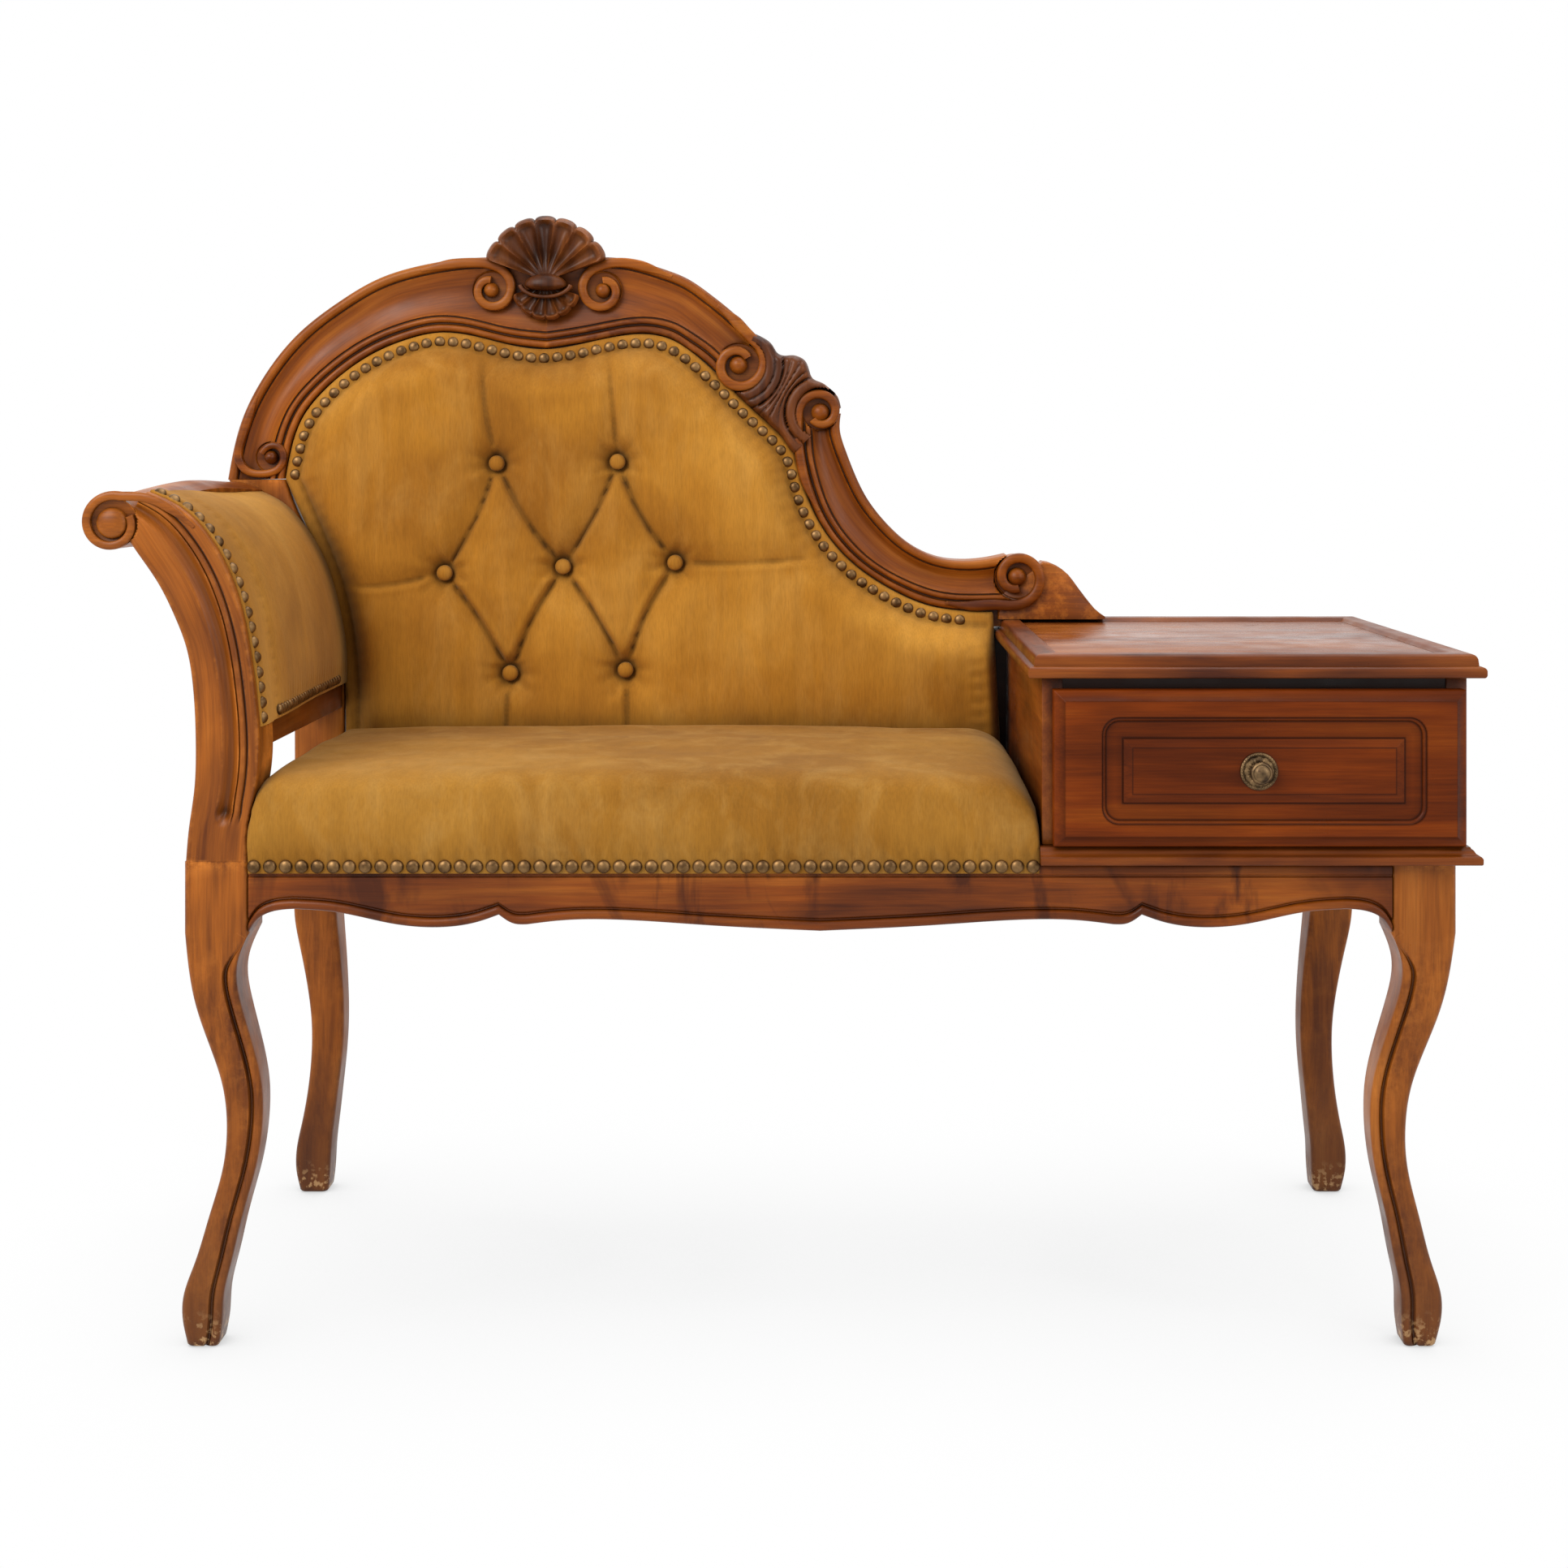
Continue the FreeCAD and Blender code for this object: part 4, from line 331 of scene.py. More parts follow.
def wood(name, light, mid, dark, along=None, wear=0.3, gloss=0.34, flame=0.0, pores=1.0, polish_and_painted_shade=1.0, relief=True,
         feet=False, crease=0.014, shine=0.2, shaded_creases=False):
    """Stained wood. Its grain runs along an axis of the object, or else follows the piece's own grain
    places. Corners get painted shade from ambient occlusion. flame adds dark figure, relief hollows
    darkened by dark polish and painted shade and rubbed edges, feet a darkening towards the floor and
    pale scuffs at the toes, and the drawer's crease flag painted shade in its creases."""
    material, tree, bsdf = shader(name)
    world = object_places(tree)
    if along:
        turn = {"X": (0, 0, 0), "Y": (0, 0, math.pi / 2)}[along]
        place = node(tree, "ShaderNodeMapping", {"Vector": world, "Rotation": turn}).outputs[0]
    else:
        place = node(tree, "ShaderNodeAttribute", attribute_name="grain").outputs["Vector"]
    broad = noise_of(tree, place, 9.0, 3.0, 0.55, (0.35, 1.6, 1.6), 0.6)
    grain = noise_of(tree, place, 60.0, 6.0, 0.62, (0.09, 1.5, 1.5), 0.35)
    fine = noise_of(tree, place, 420.0, 3.0, 0.6, (0.045, 1.6, 1.6))
    blotch = noise_of(tree, world, 7.0, 3.0, 0.6, distortion=0.4)
    figure = plus(tree, times(tree, broad, 0.62), times(tree, grain, 0.38))
    colour = ramp(tree, figure, [(0.36, dark), (0.5, mid), (0.66, light)])
    if flame:
        bands = noise_of(tree, place, 16.0, 4.0, 0.55, (1.0, 0.35, 0.35), 1.8)
        colour = mix(tree, times(tree, grey(tree, bands, (0.52, 0), (0.66, 1)), flame), colour, dark)
    colour = mix(tree, grey(tree, blotch, (0.38, 0.0), (0.66, 0.42)), colour, dark)
    streaks = grey(tree, fine, (0.42, 0.72), (0.56, 1.0))
    colour = mix(tree, 0.55 * pores, colour, streaks, "MULTIPLY")
    # Painted shade: corners and creases are darkened by ambient occlusion
    shade = grey(tree, occlusion(tree, crease, 8), (0.2, 0.22), (0.9, 1.0))
    colour = mix(tree, 0.8 * polish_and_painted_shade, colour, shade, "MULTIPLY")
    if relief:
        # Hollows are darker, partly from dark polish and partly as painted shade, and raised edges are rubbed
        # lighter
        pointy = node(tree, "ShaderNodeNewGeometry").outputs["Pointiness"]
        hollow = grey(tree, pointy, (0.45, 0.24), (0.497, 1.0))
        colour = mix(tree, 0.8 * polish_and_painted_shade, colour, hollow, "MULTIPLY")
        rub = noise_of(tree, world, 55.0, 5.0, 0.7)
        raised = grey(tree, pointy, (0.51, 0.0), (0.56, 1.0))
        edge = times(tree, raised, grey(tree, rub, (0.47, 0.0), (0.62, 1.0)))
        rubbed = tuple(min(1.0, c * 1.55) for c in light)
        colour = mix(tree, times(tree, edge, wear), colour, rubbed)
    if shaded_creases:
        # Painted shade along the drawer's creases, as much as each line's share
        line = node(tree, "ShaderNodeAttribute", attribute_name="crease_shade").outputs["Fac"]
        colour = mix(tree, line, colour, tuple(0.12 * c for c in mid))
    if feet:
        # The lower legs darken towards the floor, and the toes are scuffed pale
        up = node(tree, "ShaderNodeSeparateXYZ", {0: world}).outputs["Z"]
        low = plus(tree, up, times(tree, blotch, 0.12))
        colour = mix(tree, grey(tree, low, (0.07, 0.62), (0.27, 0.0), True), colour, srgb(58, 36, 26))
        scuffs = noise_of(tree, world, 170.0, rough=0.55)
        toe = grey(tree, up, (0.004, 0.9), (0.03, 0.0))
        toe = times(tree, toe, grey(tree, scuffs, (0.52, 0.0), (0.6, 1.0)))
        colour = mix(tree, toe, colour, srgb(190, 150, 104))
    tree.links.new(colour, bsdf.inputs["Base Color"])
    sheen_map = noise_of(tree, world, 28.0, rough=0.55)
    rough = node(tree, "ShaderNodeMapRange", {"Value": sheen_map, "From Min": 0.3, "From Max": 0.7,
                                              "To Min": gloss - 0.07, "To Max": gloss + 0.13}).outputs[0]
    tree.links.new(rough, bsdf.inputs["Roughness"])
    bsdf.inputs["Specular IOR Level"].default_value = shine
    bumped(tree, bsdf, 0.16, plus(tree, times(tree, fine, 0.35), times(tree, grain, 0.65)))
    return material


def velvet(name, worn=0.5, level=1.0):
    """Ochre cotton velvet with a fine rib, a paler rubbed nap, and painted shade in its creases and corners.
    level lightens or darkens the whole cloth as painted light or shade.
    """
    material, tree, bsdf = shader(name)
    place = object_places(tree)
    rib = noise_of(tree, place, 900.0, 2.0, 0.5, (1.0, 0.6, 0.12))
    cross = noise_of(tree, place, 1300.0, 2.0, 0.5, (0.35, 1.0, 1.0))
    nap = noise_of(tree, place, 26.0, 5.0, 0.65, (1.0, 1.0, 0.4), 0.6)
    broad = noise_of(tree, place, 6.0, 3.0, 0.55, distortion=0.5)
    streak = noise_of(tree, place, 120.0, 3.0, 0.6, (1.0, 0.5, 0.07))

    def dye_at_painted_level(*rgb):
        """A dye colour, lightened or darkened by this copy's level of painted light or shade."""
        return tuple(level * c for c in srgb(*rgb))

    base = ramp(tree, broad, [(0.32, dye_at_painted_level(150, 96, 26)), (0.5, dye_at_painted_level(172, 115, 34)), (0.68, dye_at_painted_level(190, 133, 48))])
    colour = mix(tree, grey(tree, nap, (0.46, 0.0), (0.7, 0.5 * worn)), base, dye_at_painted_level(204, 154, 78))
    colour = mix(tree, 0.35, colour, grey(tree, streak, (0.35, 0.7), (0.62, 1.0)), "MULTIPLY")
    colour = mix(tree, 0.4, colour, grey(tree, rib, (0.3, 0.66), (0.62, 1.0)), "MULTIPLY")
    # Painted shade: creases and tuft hollows darkened by pointiness, and corners by ambient occlusion
    pointy = node(tree, "ShaderNodeNewGeometry").outputs["Pointiness"]
    colour = mix(tree, 0.8, colour, grey(tree, pointy, (0.44, 0.35), (0.495, 1.0)), "MULTIPLY")
    colour = mix(tree, 0.75, colour, grey(tree, occlusion(tree, 0.03, 6), (0.3, 0.32), (0.9, 1.0)), "MULTIPLY")
    tree.links.new(colour, bsdf.inputs["Base Color"])
    bsdf.inputs["Roughness"].default_value = 0.86
    bsdf.inputs["Specular IOR Level"].default_value = 0.18
    bsdf.inputs["Sheen Weight"].default_value = 0.2
    bsdf.inputs["Sheen Roughness"].default_value = 0.45
    bsdf.inputs["Sheen Tint"].default_value = (1.0, 0.72, 0.36, 1)
    bumped(tree, bsdf, 0.35, plus(tree, times(tree, rib, 0.6), times(tree, cross, 0.4)))
    return material


def metal(name, dark, light, rough, tarnish):
    """Old metal, darker in its corners."""
    material, tree, bsdf = shader(name)
    place = object_places(tree)
    spots = node(tree, "ShaderNodeTexNoise", {"Vector": place, "Scale": 130.0, "Detail": 3.0}).outputs["Fac"]
    colour = ramp(tree, spots, [(0.34, dark), (0.6, light)])
    shade = grey(tree, occlusion(tree, 0.004, 6), (0.3, 0.25), (0.95, 1.0))
    colour = mix(tree, tarnish, colour, shade, "MULTIPLY")
    tree.links.new(colour, bsdf.inputs["Base Color"])
    bsdf.inputs["Metallic"].default_value = 0.85
    rough_map = node(tree, "ShaderNodeMapRange", {"Value": spots, "To Min": rough, "To Max": rough + 0.2})
    tree.links.new(rough_map.outputs[0], bsdf.inputs["Roughness"])
    return material


BEECH = srgb(176, 132, 88), srgb(154, 112, 72), srgb(120, 84, 52)
CARVED = wood("walnut_carved", srgb(190, 112, 36), srgb(150, 78, 15), srgb(84, 36, 8))
SHELLWOOD = wood("walnut_shell", srgb(150, 86, 36), srgb(104, 54, 20), srgb(54, 25, 10), pores=0.6)
APRON = wood("walnut_apron", srgb(172, 96, 28), srgb(130, 62, 11), srgb(66, 26, 5), flame=0.85, relief=False)
LEGWOOD = wood("walnut_legs", srgb(198, 120, 46), srgb(164, 90, 24), srgb(96, 46, 12), wear=0.4, feet=True)
DRAWER = wood("walnut_drawer", srgb(146, 70, 13), srgb(120, 50, 7), srgb(82, 31, 4), relief=False, crease=0.007,
              shine=0.1, shaded_creases=True)
BOARDS = wood("walnut_moulding", srgb(160, 88, 28), srgb(124, 60, 14), srgb(70, 28, 6), relief=False)
# Dark wood for parts that stand in shadow gaps: painted shade
SHADOWWOOD = wood("walnut_painted_shade", srgb(84, 40, 14), srgb(56, 24, 8), srgb(34, 14, 5), along="X", relief=False)
TOPWOOD = wood("walnut_top", srgb(180, 106, 40), srgb(146, 76, 22), srgb(94, 42, 12), gloss=0.24, polish_and_painted_shade=0.6,
               relief=False)
INNER_X = wood("beech_long", *BEECH, along="X", gloss=0.6, relief=False)
INNER_Y = wood("beech_deep", *BEECH, along="Y", gloss=0.6, relief=False)
# Copies of one velvet: the back's is lightened as painted light, the seat's darkened as painted shade
VELVET = velvet("velvet_back", level=1.12)
VELVET_SEAT = velvet("velvet_seat", worn=1.0, level=0.76)
VELVET_ARM = velvet("velvet_arm", worn=0.3)
NAIL = metal("nail_brass", srgb(84, 60, 34), srgb(132, 100, 62), 0.3, 0.8)
BRASS = metal("knob_brass", srgb(66, 50, 34), srgb(126, 100, 68), 0.32, 0.9)
STEEL = metal("screw_steel", srgb(92, 90, 88), srgb(150, 148, 144), 0.35, 0.2)


# Carved rails

# How far a rail's face drops under a scroll
SINK = 13.0


def rail_profile(width, share):
    """(across, depth) of a carved rail's front from its outer edge: a bead, a cove and two reeds. It is
    the same all the way, whatever the share."""
    steps = [(0.0, 7.0), (0.0, 5.0)]
    for a in np.linspace(-90, 62, 9):
        steps.append((4.6 + 4.6 * math.sin(math.radians(a)), 4.4 - 4.4 * math.cos(math.radians(a))))
    steps[2] = (0.02, 4.2)
    steps += [(8.9, 3.6), (9.3, 4.6), (9.9, 4.7), (10.5, 3.4)]
    cove_end = width - 15.5
    for t in np.linspace(0.04, 0.97, 15):
        dip = math.sin(math.pi * t ** 0.85) ** 0.9
        steps.append((10.5 + (cove_end - 10.5) * t, 3.0 + 5.2 * dip - 1.6 * t))
    steps += [(cove_end, 1.2), (cove_end + 0.5, 2.9), (cove_end + 1.4, 2.9), (cove_end + 1.9, 1.2)]
    for t in np.linspace(0.1, 0.9, 5):
        steps.append((cove_end + 1.9 + 4.6 * t, 1.1 - 1.1 * math.sin(math.pi * t)))
    steps += [(cove_end + 6.6, 1.3), (cove_end + 7.1, 3.1), (cove_end + 8.0, 3.1), (cove_end + 8.5, 1.3)]
    for a in np.linspace(-70, 85, 8):
        steps.append((width - 3.6 + 3.6 * math.sin(math.radians(a)), 3.6 - 3.6 * math.cos(math.radians(a))))
    steps += [(width, 5.0), (width, 9.6)]
    return np.array(steps)


def carved_rail(stations, y_front, thick, count, profile=rail_profile, sink=(), tongue=10.0):
    """Points, faces and grain of a rail carved along pairs of outer and inner points. Inside each sink
    circle the face drops, to make room for a scroll. The tongue reaches on behind the pad."""
    outer = np.array([at(o) for o, i in stations])
    inner = np.array([at(i) for o, i in stations])
    steps = run_along((outer + inner) / 2)
    places = np.linspace(steps[0], steps[-1], count)
    both = spline(steps, np.hstack([outer, inner]), places)
    rings, grains = [], []
    for s, (ox, oz, ix, iz) in zip(places, both):
        width = math.hypot(ix - ox, iz - oz)
        ux, uz = (ix - ox) / width, (iz - oz) / width
        section = profile(width, (s - places[0]) / (places[-1] - places[0]))
        xs = ox + ux * section[:, 0]
        zs = oz + uz * section[:, 0]
        depth = section[:, 1].copy()
        for centre, radius in sink:
            cx, cz = at(centre)
            depth = np.maximum(depth, SINK * ease((radius - np.hypot(xs - cx, zs - cz)) / 1.6))
        ys = y_front + depth
        ex, ez = xs[-1] + ux * tongue, zs[-1] + uz * tongue
        back = np.array([[ex, ys[-1], ez], [ex, y_front + thick, ez], [xs[0], y_front + thick, zs[0]]])
        rings.append(np.vstack([np.c_[xs, ys, zs], back]))
        across = np.r_[section[:, 0], width + tongue, width + tongue, 0]
        grains.append(np.c_[np.full(len(across), s), across, rings[-1][:, 1]])
    points, faces = loft(rings)
    return points, faces, np.vstack(grains)


def sweep_band(path, widths, rise, y_face, sides=11, root=7.0):
    """A rounded band that follows an (x, z) path on a front face. widths is its width along the path."""
    path = np.array(path, float)
    way = directions(path)
    across = np.c_[-way[:, 1], way[:, 0]]
    turn = np.linspace(0, math.pi, sides)
    rings = []
    for p, n, w, r in zip(path, across, widths, rise):
        offs = np.cos(turn) * w / 2
        ups = np.sin(turn) ** 0.75 * r
        offs = [offs[0], *offs, offs[-1]]
        depths = [y_face + root, *(y_face - ups), y_face + root]
        rings.append([[p[0] + n[0] * o, y, p[1] + n[1] * o] for o, y in zip(offs, depths)])
    return loft(rings)


def ball(x, y, z, radius, flat=0.75, rows=12, cols=24):
    """A carved knob: a dome that faces forwards."""
    rings = []
    for a in math.pi * 0.5 * np.arange(rows + 1) / rows:
        r = max(radius * math.cos(a), 0.05)
        front = y - radius * flat * math.sin(a)
        rings.append([[x + r * math.cos(t), front, z + r * math.sin(t)] for t in circle(cols)])
    base = [[p[0], y + radius, p[2]] for p in rings[0]]
    return loft([base] + rings)


def hollow(centre, radius, y_face, y_back, floor):
    """The round block under a scroll, with a sunk face."""
    steps = [(radius, y_back), (radius, y_face + floor * 0.75), (radius - 1.2, y_face + floor),
             (radius * 0.4, y_face + floor + 0.6), (0.3, y_face + floor + 0.6)]
    return loft([[[centre[0] + r * math.cos(t), y, centre[1] + r * math.sin(t)] for t in circle(56)]
                 for r, y in steps])


def scroll(centre, ways, turns, way, bands, knob, y_face, lead=(), floor=6.0, rise=3.0, y_back=None,
           start=90, drawn=None):
    """A volute: a round band winds in from its lead, narrows, and ends in a ball. ways are the radii of
    its middle line at the start and at the end. drawn gives the middle line's places instead."""
    centre = at(centre)
    t = np.linspace(0, 1, 84)
    radius = ways[0] + (ways[1] - ways[0]) * t ** 0.85
    angle = math.radians(start) + way * 2 * math.pi * turns * t
    path = np.c_[centre[0] + radius * np.cos(angle), centre[1] + radius * np.sin(angle)]
    if lead:
        head = smooth_path([at(p) for p in lead] + [path[0], path[6]], 44)
        cut = int(np.argmin(np.linalg.norm(head - path[0], axis=1)))
        path = np.vstack([head[:cut], path])
    if drawn:
        path = smooth_path([at(p) for p in drawn], 110)
    s = np.linspace(0, 1, len(path))
    widths = (bands[0] + (bands[1] - bands[0]) * s) * (0.35 + 0.65 * ease(s * 7))
    rises = rise * (0.25 + 0.75 * ease(s * 6)) * (1 - 0.25 * s)
    return [sweep_band(path, widths, rises, y_face + 1.2, sides=15, root=floor),
            ball(centre[0], y_face + floor - 1.0, centre[1], knob, (rise + floor - 1.2) / knob),
            hollow(centre, (ways[0] + ways[1]) / 2 + bands[0] * 0.2, y_face, y_back or y_face + 16, floor)]


def carve(name, parts, material, node_name):
    """One carved piece from its parts. Those without grain places get their own, turned to run along X."""
    points, faces = merge([p[:2] for p in parts])
    grain = np.vstack([p[2] if len(p) > 2 else np.array(p[0])[:, [0, 2, 1]] for p in parts])
    piece(name, points, faces, material, [node_name], grain=grain)


# Drawn pairs of outer and inner edge along each carved rail, and along the arm post from the seat up
CREST_LEFT = [
    ((-61.7, 290.7), (-8.6, 291.4)), ((-53.8, 329.8), (-3.0, 322.0)), ((-42.0, 362.0), (7.0, 349.0)),
    ((-21.4, 396.8), (24.0, 371.0)), ((6.3, 428.8), (48.0, 392.0)), ((41.0, 455.6), (76.0, 410.0)),
    ((80.0, 478.0), (106.0, 422.0)), ((118.0, 489.5), (133.0, 427.7)), ((155.0, 495.5), (163.0, 425.4)),
    ((192.0, 497.0), (196.0, 417.3)), ((234.0, 496.0), (234.0, 412.5)),
]
CREST_RIGHT = [
    ((234.0, 496.0), (234.0, 412.5)), ((274.0, 497.0), (272.0, 418.6)), ((310.0, 495.0), (302.4, 424.7)),
    ((342.0, 486.0), (329.0, 426.2)), ((366.4, 475.9), (350.0, 421.0)), ((385.0, 463.0), (363.0, 413.0)),
    ((400.3, 451.0), (376.0, 404.0)), ((415.0, 438.0), (388.0, 393.5)), ((427.0, 426.0), (402.0, 380.0)),
]
SWEPT = [
    ((506.5, 352.0), (465.0, 352.0)), ((505.5, 338.0), (465.0, 334.0)), ((510.2, 320.0), (466.5, 313.0)),
    ((521.0, 292.4), (472.0, 289.0)), ((533.6, 269.0), (482.0, 261.0)), ((550.7, 248.0), (498.0, 235.0)),
    ((569.7, 231.2), (520.0, 212.0)), ((592.9, 219.5), (552.0, 190.5)), ((616.2, 215.7), (590.0, 174.5)),
    ((640.0, 217.0), (630.0, 170.0)), ((660.0, 221.0), (665.0, 170.5)),
]
POST = [
    ((0.7, 0.0), (49.5, 0.0)), ((3.0, 26.0), (49.5, 26.5)), ((7.0, 55.0), (54.5, 53.0)),
    ((8.2, 90.0), (58.0, 86.0)), ((6.5, 130.0), (54.5, 133.0)), ((1.5, 163.0), (49.0, 170.0)),
    ((-8.0, 189.0), (41.5, 203.0)), ((-21.0, 215.0), (30.0, 232.0)), ((-36.0, 237.0), (14.0, 257.0)),
    ((-45.0, 250.0), (-6.0, 275.0)), ((-52.0, 259.0), (-28.0, 285.4)),
]
BACK_THICK = BACK_REAR - BACK_FRONT
POST_DEPTH = 42.0


def crest_left():
    """The long left half of the crest, with a scroll beside the shell and one at the arm."""
    shell_scroll, foot_scroll = (182.5, 466.5), (-22.0, 310.5)
    sink = [(shell_scroll, 15.5), (foot_scroll, 13.5)]
    parts = [carved_rail(CREST_LEFT, BACK_FRONT, BACK_THICK, 190, sink=sink)]
    lead = [(118.0, 484.5), (140.0, 489.5), (162.0, 491.5)]
    parts += scroll(shell_scroll, (22.5, 9.0), 0.98, -1, (9.5, 7.0), 7.0, BACK_FRONT - 1, lead, start=84)
    drawn = [(-34.0, 368.0), (-41.5, 350.0), (-48.5, 328.0), (-51.0, 311.0), (-43.5, 299.0), (-29.0, 296.0),
             (-14.0, 301.0), (-9.2, 312.0), (-14.5, 321.5), (-24.0, 321.0), (-29.5, 315.0)]
    parts += scroll((-21.5, 311.5), (17.0, 9.0), 1.0, 1, (8.5, 6.0), 6.4, BACK_FRONT - 1, drawn=drawn)
    carve("crest_left_carved", parts, CARVED, "crest_rail_left")


def crest_right():
    """The short right half of the crest, with a scroll beside the shell and one at the clasp."""
    shell_scroll, foot_scroll = (286.0, 466.0), (411.5, 397.0)
    sink = [(shell_scroll, 15.5), (foot_scroll, 18.5)]
    parts = [carved_rail(CREST_RIGHT, BACK_FRONT, BACK_THICK, 140, sink=sink)]
    lead = [(350.0, 478.5), (328.0, 487.0), (306.0, 491.5)]
    parts += scroll(shell_scroll, (22.5, 9.0), 0.98, 1, (9.5, 7.0), 7.2, BACK_FRONT - 1, lead, start=96)
    lead = [(392.0, 451.5), (409.0, 437.5), (424.0, 421.5)]
    parts += scroll(foot_scroll, (26.0, 11.0), 1.0, -1, (11.0, 8.0), 8.6, BACK_FRONT - 1.5, lead, rise=3.8,
                    y_back=BACK_REAR - 1, start=36)
    carve("crest_right_carved", parts, CARVED, "crest_rail_right")


def swept():
    """The rail that runs down from the clasp to the table, with a scroll at both ends."""
    top_scroll, end_scroll = (487.5, 353.0), (669.5, 200.5)
    sink = [(top_scroll, 16.5), (end_scroll, 21.5)]
    parts = [carved_rail(SWEPT, BACK_FRONT, BACK_THICK, 170, sink=sink, tongue=16.0)]
    lead = [(486.0, 262.0), (474.0, 288.0), (468.5, 314.0), (466.5, 334.0)]
    parts += scroll(top_scroll, (21.0, 9.5), 0.9, -1, (9.5, 7.5), 8.6, BACK_FRONT - 1.5, lead, rise=3.6,
                    y_back=BACK_REAR - 1, start=188)
    lead = [(604.0, 176.5), (628.0, 174.0), (650.0, 175.0)]
    parts += scroll(end_scroll, (25.5, 10.5), 1.02, 1, (10.5, 8.0), 8.8, BACK_FRONT - 1.5, lead, rise=3.6,
                    y_back=BACK_REAR - 1, start=-88)
    carve("swept_carved", parts, CARVED, "swept_rail")


def post_profile(width, share):
    """The arm post's face: a broad swell, a gouge that ends in a teardrop, a bead and an inner band."""
    fade = float(ease((share - 0.085) / 0.05))
    drop = math.exp(-((share - 0.12) / 0.028) ** 2) * fade
    steps = [(0.0, 9.0), (0.0, 4.5), (0.6, 2.4), (2.0, 1.0), (4.0, 0.5)]
    for v in np.linspace(6, width * 0.40, 7):
        steps.append((v, 0.4))
    mid = width * 0.56
    half = width * (0.13 + 0.02 * drop)
    for t in np.linspace(-1, 1, 15):
        dip = (math.cos(math.pi * t / 2)) ** 1.4
        steps.append((mid + half * t, 0.4 + (4.6 + 2.6 * drop) * dip * fade))
    bead = mid + half + 0.4
    for t in np.linspace(0, 1, 7):
        steps.append((bead + 5.0 * t, 0.5 + fade * (1.0 - 1.9 * math.sin(math.pi * t))))
    edge = bead + 5.6
    steps += [(edge, 0.5 + 1.8 * fade), (edge + 0.8, 0.5 + 1.8 * fade), (edge + 1.3, 0.5)]
    for v in np.linspace(edge + 2.2, width - 2.2, 4):
        steps.append((v, 0.4))
    steps += [(width - 0.8, 1.2), (width - 0.1, 2.8), (width, 5.0), (width, 9.0)]
    return np.array(steps)


def arm_post():
    """The carved front post of the arm, with its large scroll."""
    centre = (-55.6, 261.0)
    parts = [carved_rail(POST, LEG_FRONT, POST_DEPTH, 170, post_profile, [(centre, 19.5)], tongue=0.0)]
    lead = [(8.0, 258.0), (-10.0, 272.0), (-28.0, 280.5)]
    parts += scroll(centre, (22.0, 15.0), 0.86, 1, (7.5, 6.0), 12.0, LEG_FRONT - 1, lead, floor=4.0, rise=2.6,
                    y_back=LEG_FRONT + POST_DEPTH - 1, start=72)
    carve("arm_post_carved", parts, LEGWOOD, "arm_post")


# Shell


def fan_field(centre, radius, flutes, middle, half_angle, proud, y_back, rims, double=True):
    """A scallop: hollow flutes between ridges that split in two towards the rim, with a lobed edge."""
    per = 14
    rays = flutes * per + 1
    shares = np.linspace(0.1, 1.0, 26)
    rings = []
    for k in range(rays):
        turn = (k % per) / per
        valley = math.sin(math.pi * turn) ** 0.7
        ridge = 1 - valley
        angle = math.radians(middle - half_angle + 2 * half_angle * k / (rays - 1))
        ring = []
        for share in shares:
            lobe = 1 - 0.055 * ridge ** 1.5 * ease((share - 0.6) / 0.4)
            reach = radius * share * lobe
            spread = ease((share - 0.1) / 0.35)
            swell = np.interp(share, [0, 0.35, 0.7, 0.9, 0.97, 1.0], rims)
            split = 0
            if double:
                split = 0.22 * math.exp(-(min(turn, 1 - turn) / 0.05) ** 2) * ease((share - 0.35) / 0.3)
            lip = 0.35 * math.exp(-((share - 0.93) / 0.05) ** 2) * valley
            y = y_back - proud * (swell * (1 - 0.52 * valley * spread) + lip - split * 0.5)
            ring.append([centre[0] + reach * math.cos(angle), y, centre[1] + reach * math.sin(angle)])
        rings.append(ring + [[x, y_back + 0.5, z] for x, y, z in (ring[-1], ring[0])])
    return loft(rings)


def shell():
    """The fluted shell, the small fan under it, and the boss and rim between them."""
    centre = at((234.0, 474.0))
    seat = BACK_FRONT - 0.9
    upper = fan_field(centre, 60.5, 7, 90, 70, 13.0, seat, [0.5, 0.75, 1.0, 1.0, 0.85, 0.45])
    lower = fan_field(at((234.0, 471.0)), 33.0, 6, -90, 72, 9.0, seat, [0.4, 0.7, 0.95, 0.9, 0.7, 0.3], False)
    boss = []
    for a in math.pi * 0.5 * np.arange(15) / 14:
        row = []
        for t in circle(44):
            tall = 10.5 if math.sin(t) > 0 else 6.0
            row.append([centre[0] + 19.0 * math.cos(a) * math.cos(t), seat - 6 - 10.5 * math.sin(a),
                        centre[1] - 3.5 + tall * math.cos(a) * math.sin(t)])
        boss.append(row)
    boss.insert(0, [[p[0], seat, p[2]] for p in boss[0]])
    under = [(centre[0] + 23.5 * math.cos(t), centre[1] - 2.0 + 12.5 * math.sin(t))
             for t in np.linspace(math.radians(-172), math.radians(-8), 40)]
    rise = 2.2 * np.sin(np.linspace(0.25, math.pi - 0.25, 40)) + 0.4
    rim = sweep_band(under, [3.6] * 40, rise, seat - 8.0, root=9)
    block = []
    for y in (seat + 0.5, BACK_REAR - 12.5):
        ring = [[centre[0] + 54 * math.cos(a), y, centre[1] + 55.5 * math.sin(a)]
                for a in np.radians(np.linspace(24, 156, 26))]
        block.append(ring + [[centre[0] + side * 49, y, RAIL_TOP + 497.3] for side in (-1, 1)])
    points, faces = merge([upper, lower, loft(boss), rim, loft(block)])
    piece("shell_carved", points, faces, SHELLWOOD, ["crest_shell"],
          grain=points[:, [2, 0, 1]], angle=50)


